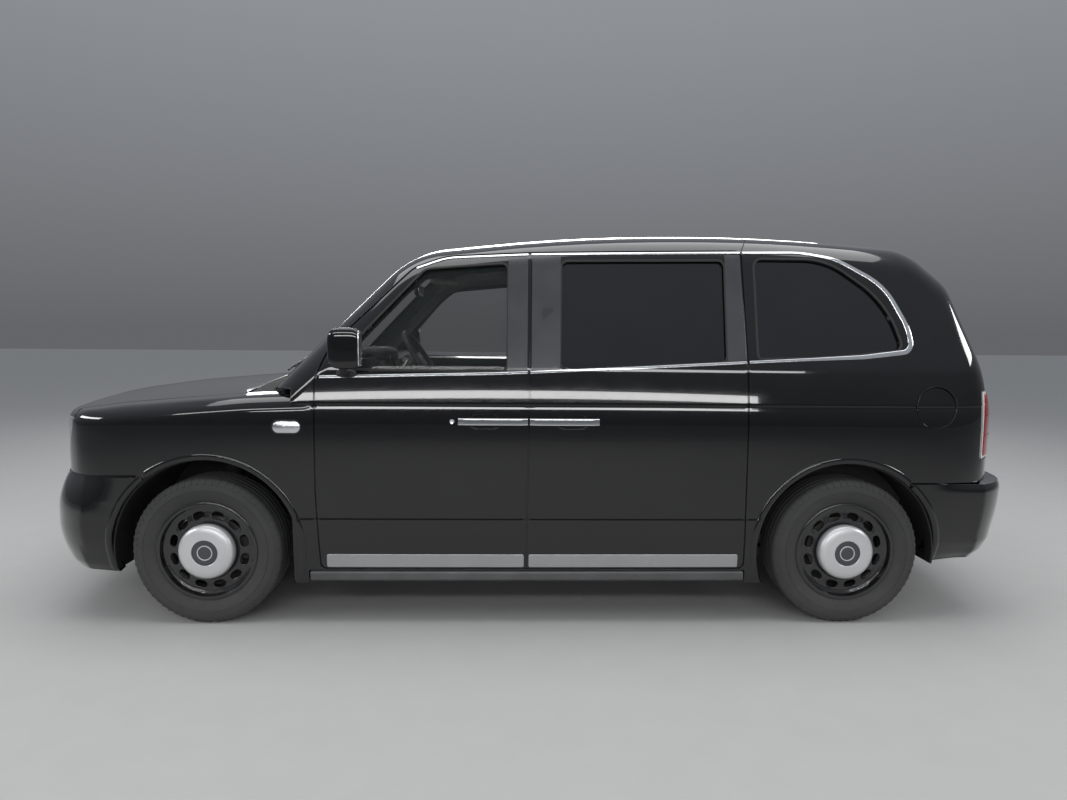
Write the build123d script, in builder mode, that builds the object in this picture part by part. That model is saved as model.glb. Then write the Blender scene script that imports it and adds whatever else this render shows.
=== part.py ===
"""Five-door taxi cab with side doors that open away from each other.

Frame: +X forward, +Y to the cab's left, +Z up, millimetres. The origin is on the
ground, under the middle of the wheelbase, which is also the middle of the length.
Left-hand pieces are modelled and the right-hand ones are their mirror images.
"""

import os
from math import asin, cos, degrees, radians, sin, sqrt

from build123d import *

os.makedirs("parts", exist_ok=True)

# Overall sizes of the body
overall_length = 4857.0
half_width = 937.0
roof_height = 1888.0
wheelbase = 2985.0
side_bow_radius = 90000.0
roof_crown_radius = 3200.0
bonnet_crown_radius = 5900.0
bonnet_height = 1142.0

# Wall thicknesses and gaps
skin = 8.0
wall = 70.0
wing_wall = 24.0
bumper_wall = 44.0
panel_gap = 6.0
door_rebate = 24.0
door_inner_clearance = 8.0
glass_depth = 14.0
glass_thickness = 5.0
screen_thickness = 6.0

# Wheels and tyres
tyre_radius = 345.0
tyre_width = 215.0
track = 1620.0
rim_radius = 233.0
rim_width = 190.0
bead_radius = 216.0
wheel_hole_count = 12
wheel_hole_circle = 168.0
wheel_hole_length = 60.0
wheel_hole_width = 40.0
hub_bore = 28.5
stub_radius = 28.0
disc_radius = 148.0
cap_radius = 129.0
cap_proud = 28.0
front_arch_radius = 432.0
rear_arch_radius = 424.0
kingpin_y = 740.0

# Heights of the main lines
sill_bottom = 190.0
floor_top = 360.0
floor_thickness = 60.0
boot_floor_top = 560.0
door_bottom = 266.0
front_bumper_top = 700.0
rear_bumper_top = 676.0

# Stations along the body
front_door_front = 984.0
door_split = 4.0
rear_door_rear = -1010.0
bonnet_rear = 1320.0
bonnet_half_width = 770.0
headlamp_rear = 2104.0
firewall_x = 1150.0
partition_x = -110.0
roof_half_width = 600.0
tailgate_hinge_x = -1832.0

front_axle_x = wheelbase / 2
rear_axle_x = -wheelbase / 2
nose_x = overall_length / 2
tail_x = -overall_length / 2
wheel_y = track / 2
reach = 3000.0
side_axis = Axis((0, half_width - side_bow_radius, 0), (0, 0, 1))
side_sweep = degrees(2700.0 / side_bow_radius)


def mirrored(part):
    """Return the right-hand copy of a left-hand piece."""
    with BuildPart() as other:
        mirror(part, about=Plane.XZ)
    return other.part


def write(part, name):
    """Label a finished piece and write it to its own file."""
    part.label = name
    export_step(part, f"parts/{name}.step")


def write_pair(left_part, name):
    """Write a left-hand piece and its mirror image."""
    write(left_part, f"{name}_left")
    write(mirrored(left_part), f"{name}_right")


def grown(outline, distance):
    """Move every edge of a closed outline outwards; rows are (a, b, corner radius)."""
    count = len(outline)
    area = 0.0
    for index in range(count):
        a0, b0, _ = outline[index]
        a1, b1, _ = outline[(index + 1) % count]
        area += a0 * b1 - a1 * b0
    turn = 1.0 if area > 0 else -1.0
    lines = []
    for index in range(count):
        a0, b0, _ = outline[index]
        a1, b1, _ = outline[(index + 1) % count]
        length = sqrt((a1 - a0) ** 2 + (b1 - b0) ** 2)
        normal = (turn * (b1 - b0) / length, -turn * (a1 - a0) / length)
        lines.append((normal, normal[0] * a0 + normal[1] * b0 + distance))
    rows = []
    for index in range(count):
        (n0, c0), (n1, c1) = lines[index - 1], lines[index]
        cross = n0[0] * n1[1] - n0[1] * n1[0]
        a = (c0 * n1[1] - c1 * n0[1]) / cross
        b = (n0[0] * c1 - n1[0] * c0) / cross
        radius = outline[index][2]
        bulge = 1.0 if cross * turn > 0 else -1.0
        rows.append((a, b, max(radius + bulge * distance, 0.0) if radius else 0.0))
    return rows


def prism_y(outline, y_low, y_high, grow=0.0):
    """Extrude an outline of (x, z, corner radius) rows across the body."""
    rows = grown(outline, grow)
    with BuildPart() as prism:
        with BuildSketch(Plane.XZ.offset(-y_low)):
            with BuildLine():
                FilletPolyline(*[(x, z) for x, z, _ in rows], radius=[r for _, _, r in rows], close=True)
            make_face()
        extrude(amount=-(y_high - y_low))
    return prism.part


def prism_x(outline, x_low, x_high, grow=0.0):
    """Extrude a symmetric outline of (y, z, corner radius) rows along the body."""
    rows = [*outline] + [(-y, z, r) for y, z, r in reversed(outline)]
    rows = grown(rows, grow)
    with BuildPart() as prism:
        with BuildSketch(Plane.YZ.offset(x_low)):
            with BuildLine():
                FilletPolyline(*[(y, z) for y, z, _ in rows], radius=[r for _, _, r in rows], close=True)
            make_face()
        extrude(amount=x_high - x_low)
    return prism.part


def block(x_low, x_high, y_low, y_high, z_low, z_high, edge=0.0):
    """Return a box given by its limits, with its edges rounded by edge."""
    with BuildPart() as solid:
        with Locations(((x_low + x_high) / 2, (y_low + y_high) / 2, (z_low + z_high) / 2)):
            Box(x_high - x_low, y_high - y_low, z_high - z_low)
        if edge:
            fillet(solid.edges(), edge)
    return solid.part


def rod_y(x, z, radius, y_low, y_high):
    """Return a round bar that runs across the body."""
    with BuildPart() as bar:
        with BuildSketch(Plane.XZ.offset(-y_low)):
            with Locations((x, z)):
                Circle(radius)
        extrude(amount=-(y_high - y_low))
    return bar.part


def rod_x(y, z, radius, x_low, x_high):
    """Return a round bar that runs along the body."""
    with BuildPart() as bar:
        with BuildSketch(Plane.YZ.offset(x_low)):
            with Locations((y, z)):
                Circle(radius)
        extrude(amount=x_high - x_low)
    return bar.part


# Body section at mid-length: half width, height and corner radius of each vertex
side_section = (
    (half_width - 23, sill_bottom, 0),
    (half_width, 430, 500),
    (half_width - 5, 960, 800),
    (half_width - 51, 1200, 220),
    (half_width - 297, 1970, 0),
)

# Centreline of windscreen, roof and tail: x, height and corner radius of each vertex
cabin_profile = (
    (1330, 100, 0),
    (1330, 1095, 0),
    (565, 1800, 420),
    (-200, roof_height - 8, 9000),
    (-1100, roof_height + 5, 9000),
    (-1850, roof_height - 48, 260),
    (-2030, 1690, 160),
    (-2190, 1250, 80),
    (-2300, 1120, 120),
    (tail_x + 60, 920, 300),
    (tail_x + 53, 640, 0),
    (tail_x + 53, 100, 0),
)

# Centreline of the bonnet and nose
nose_profile = (
    (960, 100, 0),
    (960, bonnet_height, 0),
    (1300, bonnet_height - 14, 2500),
    (1894, bonnet_height - 64, 2500),
    (2150, bonnet_height - 107, 350),
    (nose_x - 108, 960, 130),
    (nose_x - 70, 860, 200),
    (nose_x - 66, 100, 0),
)


def side_solid(depth):
    """Return everything inside the two body sides, set in by depth."""
    with BuildPart() as sides:
        with BuildSketch(Plane.YZ) as half:
            with BuildLine():
                low = side_section[0][1]
                high = side_section[-1][1]
                corners = [(0, low)] + [(y - depth, z) for y, z, _ in side_section] + [(0, high)]
                FilletPolyline(*corners, radius=[0] + [r for _, _, r in side_section] + [0], close=True)
            make_face()
        revolve(axis=side_axis, revolution_arc=side_sweep)
        revolve(half.sketch, axis=side_axis, revolution_arc=-side_sweep)
        mirror(about=Plane.XZ)
    return sides.part


def crown_solid(profile, crown_radius, depth):
    """Return everything under a centreline profile that is arched across the body."""
    top = max(z for _, z, _ in profile)
    centre = top - crown_radius
    half_turn = asin((half_width + 60) / (sill_bottom - centre))
    with BuildPart() as crown:
        plane = Plane(
            origin=(0, 0, centre),
            x_dir=(1, 0, 0),
            z_dir=(0, -cos(half_turn), sin(half_turn)),
        )
        with BuildSketch(plane):
            with BuildLine():
                rows = grown(profile, -depth)
                corners = [(x, z - centre) for x, z, _ in rows]
                FilletPolyline(*corners, radius=[r for _, _, r in rows], close=True)
            make_face()
        revolve(axis=Axis((0, 0, centre), (1, 0, 0)), revolution_arc=2 * degrees(half_turn))
    return crown.part


# Plan of the body ends: radius of the end's arc and radius of its corners
front_plan = {"arc": 1750.0, "corner": 400.0}
rear_plan = {"arc": 2682.0, "corner": 350.0}
plan_side = half_width + 2


def plan_points(plan, tip_x, depth):
    """Return the tip, joins, corner middles and side ends of one end, all as (x, y)."""
    arc = plan["arc"] - depth
    corner = plan["corner"] - depth
    corner_y = plan_side - plan["corner"]
    arc_centre = tip_x - plan["arc"]
    corner_x = arc_centre + sqrt((plan["arc"] - plan["corner"]) ** 2 - corner_y**2)
    ratio = arc / (plan["arc"] - plan["corner"])
    join = (arc_centre + (corner_x - arc_centre) * ratio, corner_y * ratio)
    lean_x = (join[0] - corner_x) / corner
    lean_y = (join[1] - corner_y) / corner + 1
    length = sqrt(lean_x**2 + lean_y**2)
    middle = (corner_x + corner * lean_x / length, corner_y + corner * lean_y / length)
    return (arc_centre + arc, 0.0), join, middle, (corner_x, plan_side - depth)


def plan_solid(front_x, rear_x, depth, z_low, z_high):
    """Return the body's rounded plan as a prism between two heights."""
    ends = ((plan_points(front_plan, front_x, depth), 1), (plan_points(rear_plan, -rear_x, depth), -1))
    with BuildPart() as prism:
        with BuildSketch(Plane.XY.offset(z_low)):
            with BuildLine():
                for points, way in ends:
                    tip, join, middle, side = [(way * x, y) for x, y in points]
                    ThreePointArc(join, tip, (join[0], -join[1]))
                    ThreePointArc(join, middle, side)
                    ThreePointArc((join[0], -join[1]), (middle[0], -middle[1]), (side[0], -side[1]))
                front_side, rear_side = ends[0][0][3], ends[1][0][3]
                Line(front_side, (-rear_side[0], rear_side[1]))
                Line((front_side[0], -front_side[1]), (-rear_side[0], -rear_side[1]))
            make_face()
        extrude(amount=z_high - z_low)
    return prism.part


def cabin_solid(depth):
    """Return the cabin's outer form, set in by depth."""
    with BuildPart() as cabin:
        add(side_solid(depth))
        add(crown_solid(cabin_profile, roof_crown_radius, depth), mode=Mode.INTERSECT)
        add(plan_solid(nose_x, tail_x + 50, depth, 0, 2000), mode=Mode.INTERSECT)
    return cabin.part


def nose_solid(depth):
    """Return the outer form of the bonnet and wings, set in by depth."""
    with BuildPart() as nose:
        add(side_solid(depth))
        add(crown_solid(nose_profile, bonnet_crown_radius, depth), mode=Mode.INTERSECT)
        add(plan_solid(nose_x - 66, tail_x, depth, 0, 2000), mode=Mode.INTERSECT)
    return nose.part


cabin_outer = cabin_solid(0)
cabin_inner = cabin_solid(wall)
nose_outer = nose_solid(0)
nose_inner = nose_solid(wing_wall)
side_outer = side_solid(0)
side_skin_back = side_solid(skin)
side_rebate = side_solid(skin + 2)
side_inner = side_solid(wall)


# Outlines on the left side: x, height and corner radius of each vertex
front_door_outline = (
    (front_door_front - 18, door_bottom, 30),
    (front_door_front, 620, 700),
    (front_door_front, 1150, 90),
    (front_door_front - 62, 1300, 160),
    (552, 1666, 120),
    (400, 1726, 300),
    (door_split - 16, 1745, 0),
    (door_split, 900, 900),
    (door_split + 10, door_bottom, 0),
)
rear_door_outline = (
    (door_split + 10, door_bottom, 0),
    (door_split, 900, 900),
    (door_split - 16, 1745, 0),
    (rear_door_rear, 1762, 30),
    (rear_door_rear, door_bottom, 30),
)
front_window_outline = ((872, 1196, 24), (862, 1258, 60), (494, 1660, 70), (106, 1690, 30), (106, 1190, 30))
rear_window_outline = ((-140, 1198, 30), (-150, 1702, 30), (-924, 1712, 30), (-912, 1236, 30))
quarter_window_outline = (
    (-1062, 1252, 20),
    (-1070, 1722, 40),
    (-1420, 1722, 330),
    (-1690, 1520, 420),
    (-1752, 1296, 36),
    (-1400, 1262, 900),
)
windscreen_outline = ((742, 1152, 40), (592, 1742, 60))
tailgate_outline = ((560, 1900, 0), (600, 1600, 400), (640, 1240, 400), (636, rear_bumper_top + 4, 20))
rear_screen_outline = ((560, 1290, 70), (505, 1690, 70))

# Wheel arches and wheelhouses on the left side
arch_wall = 12.0
front_house_y = 396.0
rear_house_y = 684.0
front_arch = rod_y(front_axle_x, tyre_radius, front_arch_radius, front_house_y, reach)
front_house = rod_y(front_axle_x, tyre_radius, front_arch_radius + arch_wall, front_house_y - arch_wall, reach)
rear_arch = rod_y(rear_axle_x, tyre_radius, rear_arch_radius, rear_house_y, reach)
rear_house = rod_y(rear_axle_x, tyre_radius, rear_arch_radius + arch_wall, rear_house_y - arch_wall, reach)

# Layers shared by several panels
half_gap = panel_gap / 2
glass_face = cabin_solid(glass_depth)
glass_back = cabin_solid(glass_depth + glass_thickness)
left_half = block(-reach, reach, 0, reach, 0, reach)


def joined(*parts):
    """Return the union of several solids."""
    with BuildPart() as whole:
        for part in parts:
            add(part)
    return whole.part


def without(part, *cutters):
    """Return a part with other solids taken away."""
    with BuildPart() as rest:
        add(part)
        for cutter in cutters:
            add(cutter, mode=Mode.SUBTRACT)
    return rest.part


def within(part, *limits):
    """Return what a part shares with every limit."""
    with BuildPart() as common:
        add(part)
        for limit in limits:
            add(limit, mode=Mode.INTERSECT)
    return common.part


cabin_shell = without(cabin_outer, cabin_inner)
nose_shell = without(nose_outer, nose_inner)
outside_rebate = without(left_half, side_rebate)
wing_start = front_door_front + half_gap
wing_zone = within(nose_shell, block(wing_start, reach, -reach, reach, 0, reach))

# Filler flap on the left rear quarter
flap_x = -1893.0
flap_z = 1031.0
flap_radius = 93.0
flap_pocket = 46.0
filler_neck_radius = 34.0
flap_wall_y = 845.0

# Pieces round the tail and the sills
lamp_front = -2127.0
lamp_bottom = 784.0
lamp_top = 1106.0
quarter_corner_x = -1785.0
post_front = 1090.0
pillar_foot_z = 1104.0
step_top = 258.0
step_bottom = 202.0
step_front = 1018.0
step_rear = -1012.0
lamp_block = block(-reach, lamp_front, 0, reach, lamp_bottom, lamp_top)
tailgate_hole = prism_x(tailgate_outline, -reach, -1700, half_gap)

# Side frame: pillars, sill, rail and rear quarter in one pressing
with BuildPart() as side_frame:
    add(within(cabin_shell, left_half))
    add(block(post_front, reach, 0, reach, 0, pillar_foot_z), mode=Mode.SUBTRACT)
    add(wing_zone, mode=Mode.SUBTRACT)
    add(front_house, mode=Mode.SUBTRACT)
    add(block(-reach, reach, 0, roof_half_width, rear_bumper_top, reach), mode=Mode.SUBTRACT)
    add(prism_x(windscreen_outline, 300, reach), mode=Mode.SUBTRACT)
    add(block(firewall_x - arch_wall, reach, 0, 742, 0, 1152), mode=Mode.SUBTRACT)
    for outline in (front_door_outline, rear_door_outline):
        add(within(prism_y(outline, 500, 1000, half_gap), outside_rebate), mode=Mode.SUBTRACT)
        add(prism_y(outline, 500, 1000, door_inner_clearance - door_rebate), mode=Mode.SUBTRACT)
    add(prism_y(quarter_window_outline, 500, 1000), mode=Mode.SUBTRACT)
    add(rear_arch, mode=Mode.SUBTRACT)
    add(block(step_rear - 4, step_front + 4, 700, 1000, 0, step_top), mode=Mode.SUBTRACT)
    add(block(-reach, quarter_corner_x, 0, reach, 0, rear_bumper_top), mode=Mode.SUBTRACT)
    add(tailgate_hole, mode=Mode.SUBTRACT)
    add(lamp_block, mode=Mode.SUBTRACT)
side_frame_right = mirrored(side_frame.part)
with BuildPart() as side_frame_left:
    add(side_frame.part)
    add(rod_y(flap_x, flap_z, flap_radius + panel_gap, flap_wall_y, 1000), mode=Mode.SUBTRACT)
    add(rod_y(flap_x, flap_z, filler_neck_radius, flap_wall_y - 10, flap_wall_y + 18))
write(side_frame_left.part, "side_frame_left")
write(side_frame_right, "side_frame_right")

with BuildPart() as filler_flap:
    add(without(cabin_outer, glass_face))
    add(rod_y(flap_x, flap_z, flap_radius, 800, 1000), mode=Mode.INTERSECT)
write(filler_flap.part, "filler_flap")

with BuildPart() as side_steps:
    add(without(side_outer, side_inner))
    add(block(step_rear, step_front, -1000, 1000, step_bottom, step_top), mode=Mode.INTERSECT)
write(side_steps.part, "side_steps")

with BuildPart() as roof_panel:
    add(cabin_shell)
    add(
        block(tailgate_hinge_x + half_gap, 900, -roof_half_width, roof_half_width, 1500, reach),
        mode=Mode.INTERSECT,
    )
    add(prism_x(windscreen_outline, 300, reach), mode=Mode.SUBTRACT)
write(roof_panel.part, "roof_panel")

# Floor: cabin slab, side members, kick-up, boot floor, rails, rear beam, wheelhouses
floor_side_clearance = 8.0
member_inner_y = 770.0
kick_x = -1060.0
rail_y = (340.0, 400.0)
rear_rail_z = (440.0, 540.0)
beam_depth = 50.0
beam_half_width = 520.0
rear_beam_z = (450.0, 540.0)
tow_radius = 9.0
tow_y = -300.0
front_tow_z = 448.0
rear_tow_z = 495.0
tow_reach = 104.0
tow_access_radius = 20.0
sheet = 20.0

with BuildPart() as floor_platform:
    add(
        within(
            block(kick_x, firewall_x - arch_wall, -reach, reach, floor_top - floor_thickness, floor_top),
            side_solid(wall + floor_side_clearance),
        )
    )
    for y_low, y_high in ((member_inner_y, reach), (-reach, -member_inner_y)):
        members = block(step_rear, 1010, y_low, y_high, step_bottom, floor_top - floor_thickness)
        add(within(members, side_inner))
    add(within(block(kick_x - sheet, kick_x, -780, 780, step_bottom + 60, boot_floor_top), cabin_inner))
    add(within(block(-reach, kick_x, -reach, reach, boot_floor_top - sheet, boot_floor_top), cabin_inner))
    for house, arch in ((rear_house, rear_arch), (mirrored(rear_house), mirrored(rear_arch))):
        add(within(house, block(-reach, 0, -reach, reach, boot_floor_top - sheet, reach), cabin_inner))
        add(arch, mode=Mode.SUBTRACT)
    for side in (1, -1):
        y_low, y_high = sorted((side * rail_y[0], side * rail_y[1]))
        add(block(tail_x + 110, kick_x, y_low, y_high, *rear_rail_z))
    add(
        within(
            without(
                plan_solid(nose_x, tail_x, bumper_wall, *rear_beam_z),
                plan_solid(nose_x, tail_x, bumper_wall + beam_depth, *rear_beam_z),
            ),
            block(-reach, -2000, -beam_half_width, beam_half_width, 0, reach),
        )
    )
    add(rod_x(tow_y, rear_tow_z, tow_radius, tail_x, tail_x + tow_reach), mode=Mode.SUBTRACT)
    for house in (front_house, mirrored(front_house)):
        add(house, mode=Mode.SUBTRACT)
write(floor_platform.part, "floor_platform")

with BuildPart() as battery_pack:
    add(block(-900, 700, -430, 430, sill_bottom, floor_top - floor_thickness, 12))
write(battery_pack.part, "battery_pack")

# Nose: wings, bonnet, scuttle and the structure behind them
wing_inner_y = bonnet_half_width + panel_gap
bumper_corner_x = 1800.0
with BuildPart() as wing:
    add(within(nose_shell, block(wing_start, headlamp_rear - half_gap, 0, reach, sill_bottom, reach)))
    add(block(0, reach, 0, wing_inner_y, 0, reach), mode=Mode.SUBTRACT)
    add(front_arch, mode=Mode.SUBTRACT)
    add(block(bumper_corner_x, reach, 0, reach, 0, front_bumper_top + half_gap), mode=Mode.SUBTRACT)
    add(block(0, step_front + 4, 700, 1000, 0, step_top), mode=Mode.SUBTRACT)
write_pair(wing.part, "wing")

bonnet_wall = 30.0
bonnet_lip_z = 962.0
nose_under = nose_solid(bonnet_wall)
with BuildPart() as bonnet:
    add(without(nose_outer, nose_under))
    add(
        joined(
            block(bonnet_rear, reach, -bonnet_half_width, bonnet_half_width, bonnet_lip_z, reach),
            block(headlamp_rear + half_gap, reach, -reach, reach, bonnet_lip_z, reach),
        ),
        mode=Mode.INTERSECT,
    )
write(bonnet.part, "bonnet")

cowl_depth = 40.0
with BuildPart() as scuttle:
    cowl = block(firewall_x - arch_wall, bonnet_rear - panel_gap, -wing_inner_y, wing_inner_y, 900, reach)
    add(within(without(nose_outer, nose_solid(cowl_depth)), cowl))
    upstand = within(cabin_shell, block(firewall_x - arch_wall, reach, -742, 742, 1000, 1152))
    add(without(upstand, nose_outer))
    bulkhead = block(firewall_x - arch_wall, firewall_x, -reach, reach, floor_top - floor_thickness, 1120)
    add(within(bulkhead, nose_inner))
    for house in (front_house, mirrored(front_house)):
        add(house, mode=Mode.SUBTRACT)
write(scuttle.part, "scuttle")

front_rail_z = (380.0, 480.0)
front_tip = nose_x - 66
panel_depth = 110.0
arm_z = (192.0, 212.0)
upper_arm_z = (482.0, 500.0)
coil_radius = 45.0
coil_y = 560.0
arm_tip_y = 745.0


def wishbone(z_low, z_high, root_half, root_y):
    """Return a left suspension arm that narrows from the frame to the upright."""
    with BuildPart() as arm:
        with BuildSketch(Plane.XY.offset(z_low)):
            with BuildLine():
                Polyline(
                    (front_axle_x - root_half, root_y),
                    (front_axle_x - 24, arm_tip_y - 60),
                    (front_axle_x - 24, arm_tip_y),
                    (front_axle_x + 24, arm_tip_y),
                    (front_axle_x + 24, arm_tip_y - 60),
                    (front_axle_x + root_half, root_y),
                    close=True,
                )
            make_face()
            with Locations((front_axle_x, (root_y + arm_tip_y) / 2 - 70)):
                RectangleRounded(root_half * 0.8, 110, 20, mode=Mode.SUBTRACT)
        extrude(amount=z_high - z_low)
    return arm.part


with BuildPart() as front_corner:
    add(without(front_house, front_arch, block(-reach, reach, 0, reach, 0, front_rail_z[1])))
    add(nose_inner, mode=Mode.INTERSECT)
    add(block(bumper_corner_x - 20, reach, 828, reach, 0, front_bumper_top + half_gap), mode=Mode.SUBTRACT)
    add(block(firewall_x, nose_x - 118, *rail_y, *front_rail_z))
    add(block(front_axle_x - 90, front_axle_x - 50, rail_y[0], rail_y[1], 290, front_rail_z[0]))
    add(block(front_axle_x + 50, front_axle_x + 90, rail_y[0], rail_y[1], 290, front_rail_z[0]))
    add(block(1700, 1760, 300, rail_y[0], 430, 478))
    add(wishbone(*arm_z, 130, front_house_y - 6))
    add(wishbone(*upper_arm_z, 90, front_house_y - 6))
    with BuildSketch(Plane.XY.offset(arm_z[1])):
        with Locations((front_axle_x, coil_y)):
            Circle(coil_radius)
    extrude(amount=front_arch_radius + tyre_radius - arm_z[1] - 4)
    add(block(front_axle_x - 110, front_axle_x + 110, 0, front_house_y + 4, arm_z[0], 300))

with BuildPart() as front_structure:
    add(front_corner.part)
    mirror(front_corner.part, about=Plane.XZ)
    add(
        within(
            without(
                plan_solid(nose_x, tail_x, bumper_wall, *front_rail_z),
                plan_solid(nose_x, tail_x, bumper_wall + beam_depth, *front_rail_z),
            ),
            block(2000, reach, -beam_half_width, beam_half_width, 0, reach),
        )
    )
    add(
        within(
            without(
                plan_solid(front_tip, tail_x, panel_depth, front_rail_z[1], 938),
                plan_solid(front_tip, tail_x, panel_depth + sheet, front_rail_z[1], 938),
            ),
            block(2000, reach, -640, 640, 0, reach),
            nose_under,
        )
    )
    add(block(2000, reach, -330, 330, 520, 860), mode=Mode.SUBTRACT)
    add(rod_x(tow_y, front_tow_z, tow_radius, nose_x - tow_reach, nose_x), mode=Mode.SUBTRACT)
write(front_structure.part, "front_structure")

with BuildPart() as engine:
    add(block(1560, 2120, -300, 300, 430, 900, 25))
write(engine.part, "engine")

# Bumpers: each is a stack of rings that follow the plan of its end
bumper_side = 2.0


def bumper_ring(depth, z_low, z_high):
    """Return one level of both bumpers, set in from the full plan by depth."""
    outer = within(plan_solid(nose_x, tail_x, depth, z_low, z_high), side_solid(depth - bumper_side))
    inside = depth + bumper_wall
    inner = within(plan_solid(nose_x, tail_x, inside, z_low, z_high), side_solid(inside - bumper_side))
    return without(outer, inner)


# Levels of a bumper: depth from the full plan, bottom and top
front_levels = ((30, 640, front_bumper_top), (0, 300, 645), (34, 212, 305))
rear_levels = ((0, 415, rear_bumper_top), (32, 290, 420))
intake_outline = ((430, 330, 30), (400, 470, 40))
grille_outline = ((268, 604, 40), (292, 938, 60))

with BuildPart() as front_bumper:
    for level in front_levels:
        add(bumper_ring(*level))
    add(block(bumper_corner_x, reach, -1000, 1000, 0, reach), mode=Mode.INTERSECT)
    for arch in (front_arch, mirrored(front_arch)):
        add(arch, mode=Mode.SUBTRACT)
    add(prism_x(intake_outline, 2000, reach), mode=Mode.SUBTRACT)
    add(prism_x(grille_outline, 2000, reach), mode=Mode.SUBTRACT)
    with BuildSketch(Plane.YZ.offset(2000)):
        with Locations((-620, 410), (620, 410)):
            SlotOverall(150, 72)
    extrude(amount=1000, mode=Mode.SUBTRACT)
    for z in (365, 400, 435):
        bar = plan_solid(nose_x, tail_x, 14, z - 4, z + 4)
        bar = without(bar, plan_solid(nose_x, tail_x, 36, z - 4, z + 4))
        add(within(bar, block(2000, reach, -436, 436, 0, reach)))
write(front_bumper.part, "front_bumper")

with BuildPart() as rear_bumper:
    for level in rear_levels:
        add(bumper_ring(*level))
    add(block(-reach, quarter_corner_x, -1000, 1000, 0, reach), mode=Mode.INTERSECT)
    for arch in (rear_arch, mirrored(rear_arch)):
        add(arch, mode=Mode.SUBTRACT)
    add(rod_x(tow_y, rear_tow_z, tow_access_radius, tail_x - 10, -2000), mode=Mode.SUBTRACT)
write(rear_bumper.part, "rear_bumper")

# Grille: a deep upright frame round a row of vertical slats
slat_count = 17
slat_width = 9.0
grille_proud = 16.0
frame_width = 24.0
slat_span = 2 * (grille_outline[0][0] - frame_width)
with BuildPart() as slats:
    with BuildSketch(Plane.XY.offset(590)):
        with Locations((2250, 0)):
            with GridLocations(1, slat_span / slat_count, 1, slat_count):
                Rectangle(400, slat_width)
    extrude(amount=360)
with BuildPart() as grille:
    add(prism_x(grille_outline, 2000, reach))
    add(plan_solid(front_tip, tail_x, -grille_proud, 0, 1000), mode=Mode.INTERSECT)
    add(plan_solid(front_tip, tail_x, panel_depth, 0, 1000), mode=Mode.SUBTRACT)
    add(prism_x(grille_outline, 2000, reach, -frame_width), mode=Mode.SUBTRACT)
    band = without(
        plan_solid(front_tip, tail_x, 4, 0, 1000),
        plan_solid(front_tip, tail_x, 44, 0, 1000),
    )
    add(within(slats.part, band, prism_x(grille_outline, 2000, reach, 2 - frame_width)))
    plate = without(
        plan_solid(front_tip, tail_x, 44, 0, 1000),
        plan_solid(front_tip, tail_x, 56, 0, 1000),
    )
    add(within(plate, prism_x(grille_outline, 2000, reach, 2 - frame_width)))
write(grille.part, "grille")

# Lamps: one block of lens and housing at each corner
headlamp_outline = ((330, 706, 40), (330, 956, 60), (1000, 956, 0), (1000, 706, 0))
with BuildPart() as headlamp:
    add(nose_outer)
    with BuildSketch(Plane.YZ.offset(headlamp_rear)):
        with BuildLine():
            FilletPolyline(
                *[(y, z) for y, z, _ in headlamp_outline],
                radius=[r for _, _, r in headlamp_outline],
                close=True,
            )
        make_face()
    extrude(amount=400, mode=Mode.INTERSECT)
    add(plan_solid(front_tip, tail_x, panel_depth, 0, 1000), mode=Mode.SUBTRACT)
with BuildPart() as headlamps:
    add(headlamp.part)
    mirror(headlamp.part, about=Plane.XZ)
write(headlamps.part, "headlamps")

with BuildPart() as tail_lamp:
    add(within(cabin_shell, lamp_block))
    add(tailgate_hole, mode=Mode.SUBTRACT)
with BuildPart() as tail_lamps:
    add(tail_lamp.part)
    mirror(tail_lamp.part, about=Plane.XZ)
write(tail_lamps.part, "tail_lamps")

# Tailgate and the glass
plate_half_width = 270.0
plate_z = (820.0, 950.0)
with BuildPart() as tailgate:
    add(cabin_shell)
    add(prism_x(tailgate_outline, -reach, tailgate_hinge_x - half_gap, -half_gap), mode=Mode.INTERSECT)
    add(prism_x(rear_screen_outline, -reach, -1700), mode=Mode.SUBTRACT)
    add(block(-reach, tail_x + 72, -plate_half_width, plate_half_width, *plate_z), mode=Mode.SUBTRACT)
write(tailgate.part, "tailgate")

glass_layer = without(glass_face, glass_back)
with BuildPart() as tailgate_glass:
    add(glass_layer)
    add(prism_x(rear_screen_outline, -reach, -1700), mode=Mode.INTERSECT)
write(tailgate_glass.part, "tailgate_glass")

# Partition between the driver and the passengers, with its pane
partition_thickness = 12.0
partition_face = partition_x - partition_thickness
pane_outline = ((610, 1040, 50), (560, 1640, 60))
partition_bay = within(
    block(partition_face, partition_x, -reach, reach, floor_top, reach),
    cabin_inner,
    side_solid(wall + floor_side_clearance),
)
with BuildPart() as partition:
    add(partition_bay)
    add(prism_x(pane_outline, -500, 500), mode=Mode.SUBTRACT)
write(partition.part, "partition")

with BuildPart() as fixed_glass:
    add(within(without(cabin_outer, cabin_solid(screen_thickness)), prism_x(windscreen_outline, 300, reach)))
    side_pane = within(glass_layer, prism_y(quarter_window_outline, 500, 1000))
    add(side_pane)
    mirror(side_pane, about=Plane.XZ)
    add(within(block(partition_face + 3, partition_x - 3, -reach, reach, 0, reach), prism_x(pane_outline, -500, 500)))
write(fixed_glass.part, "fixed_glass")

# Side doors: skin, inset inner box, pull handle, and the mirror on the front ones
handle_z = (944.0, 972.0)
handle_gap = 7.0
handle_length = 314.0
handle_proud_y = 957.0
pocket_half = 72.0
mirror_x = (750.0, 896.0)
mirror_y = (932.0, 1018.0)
mirror_z = (1200.0, 1382.0)
door_skin = without(side_outer, side_skin_back)
door_box = without(side_skin_back, side_inner)


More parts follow.
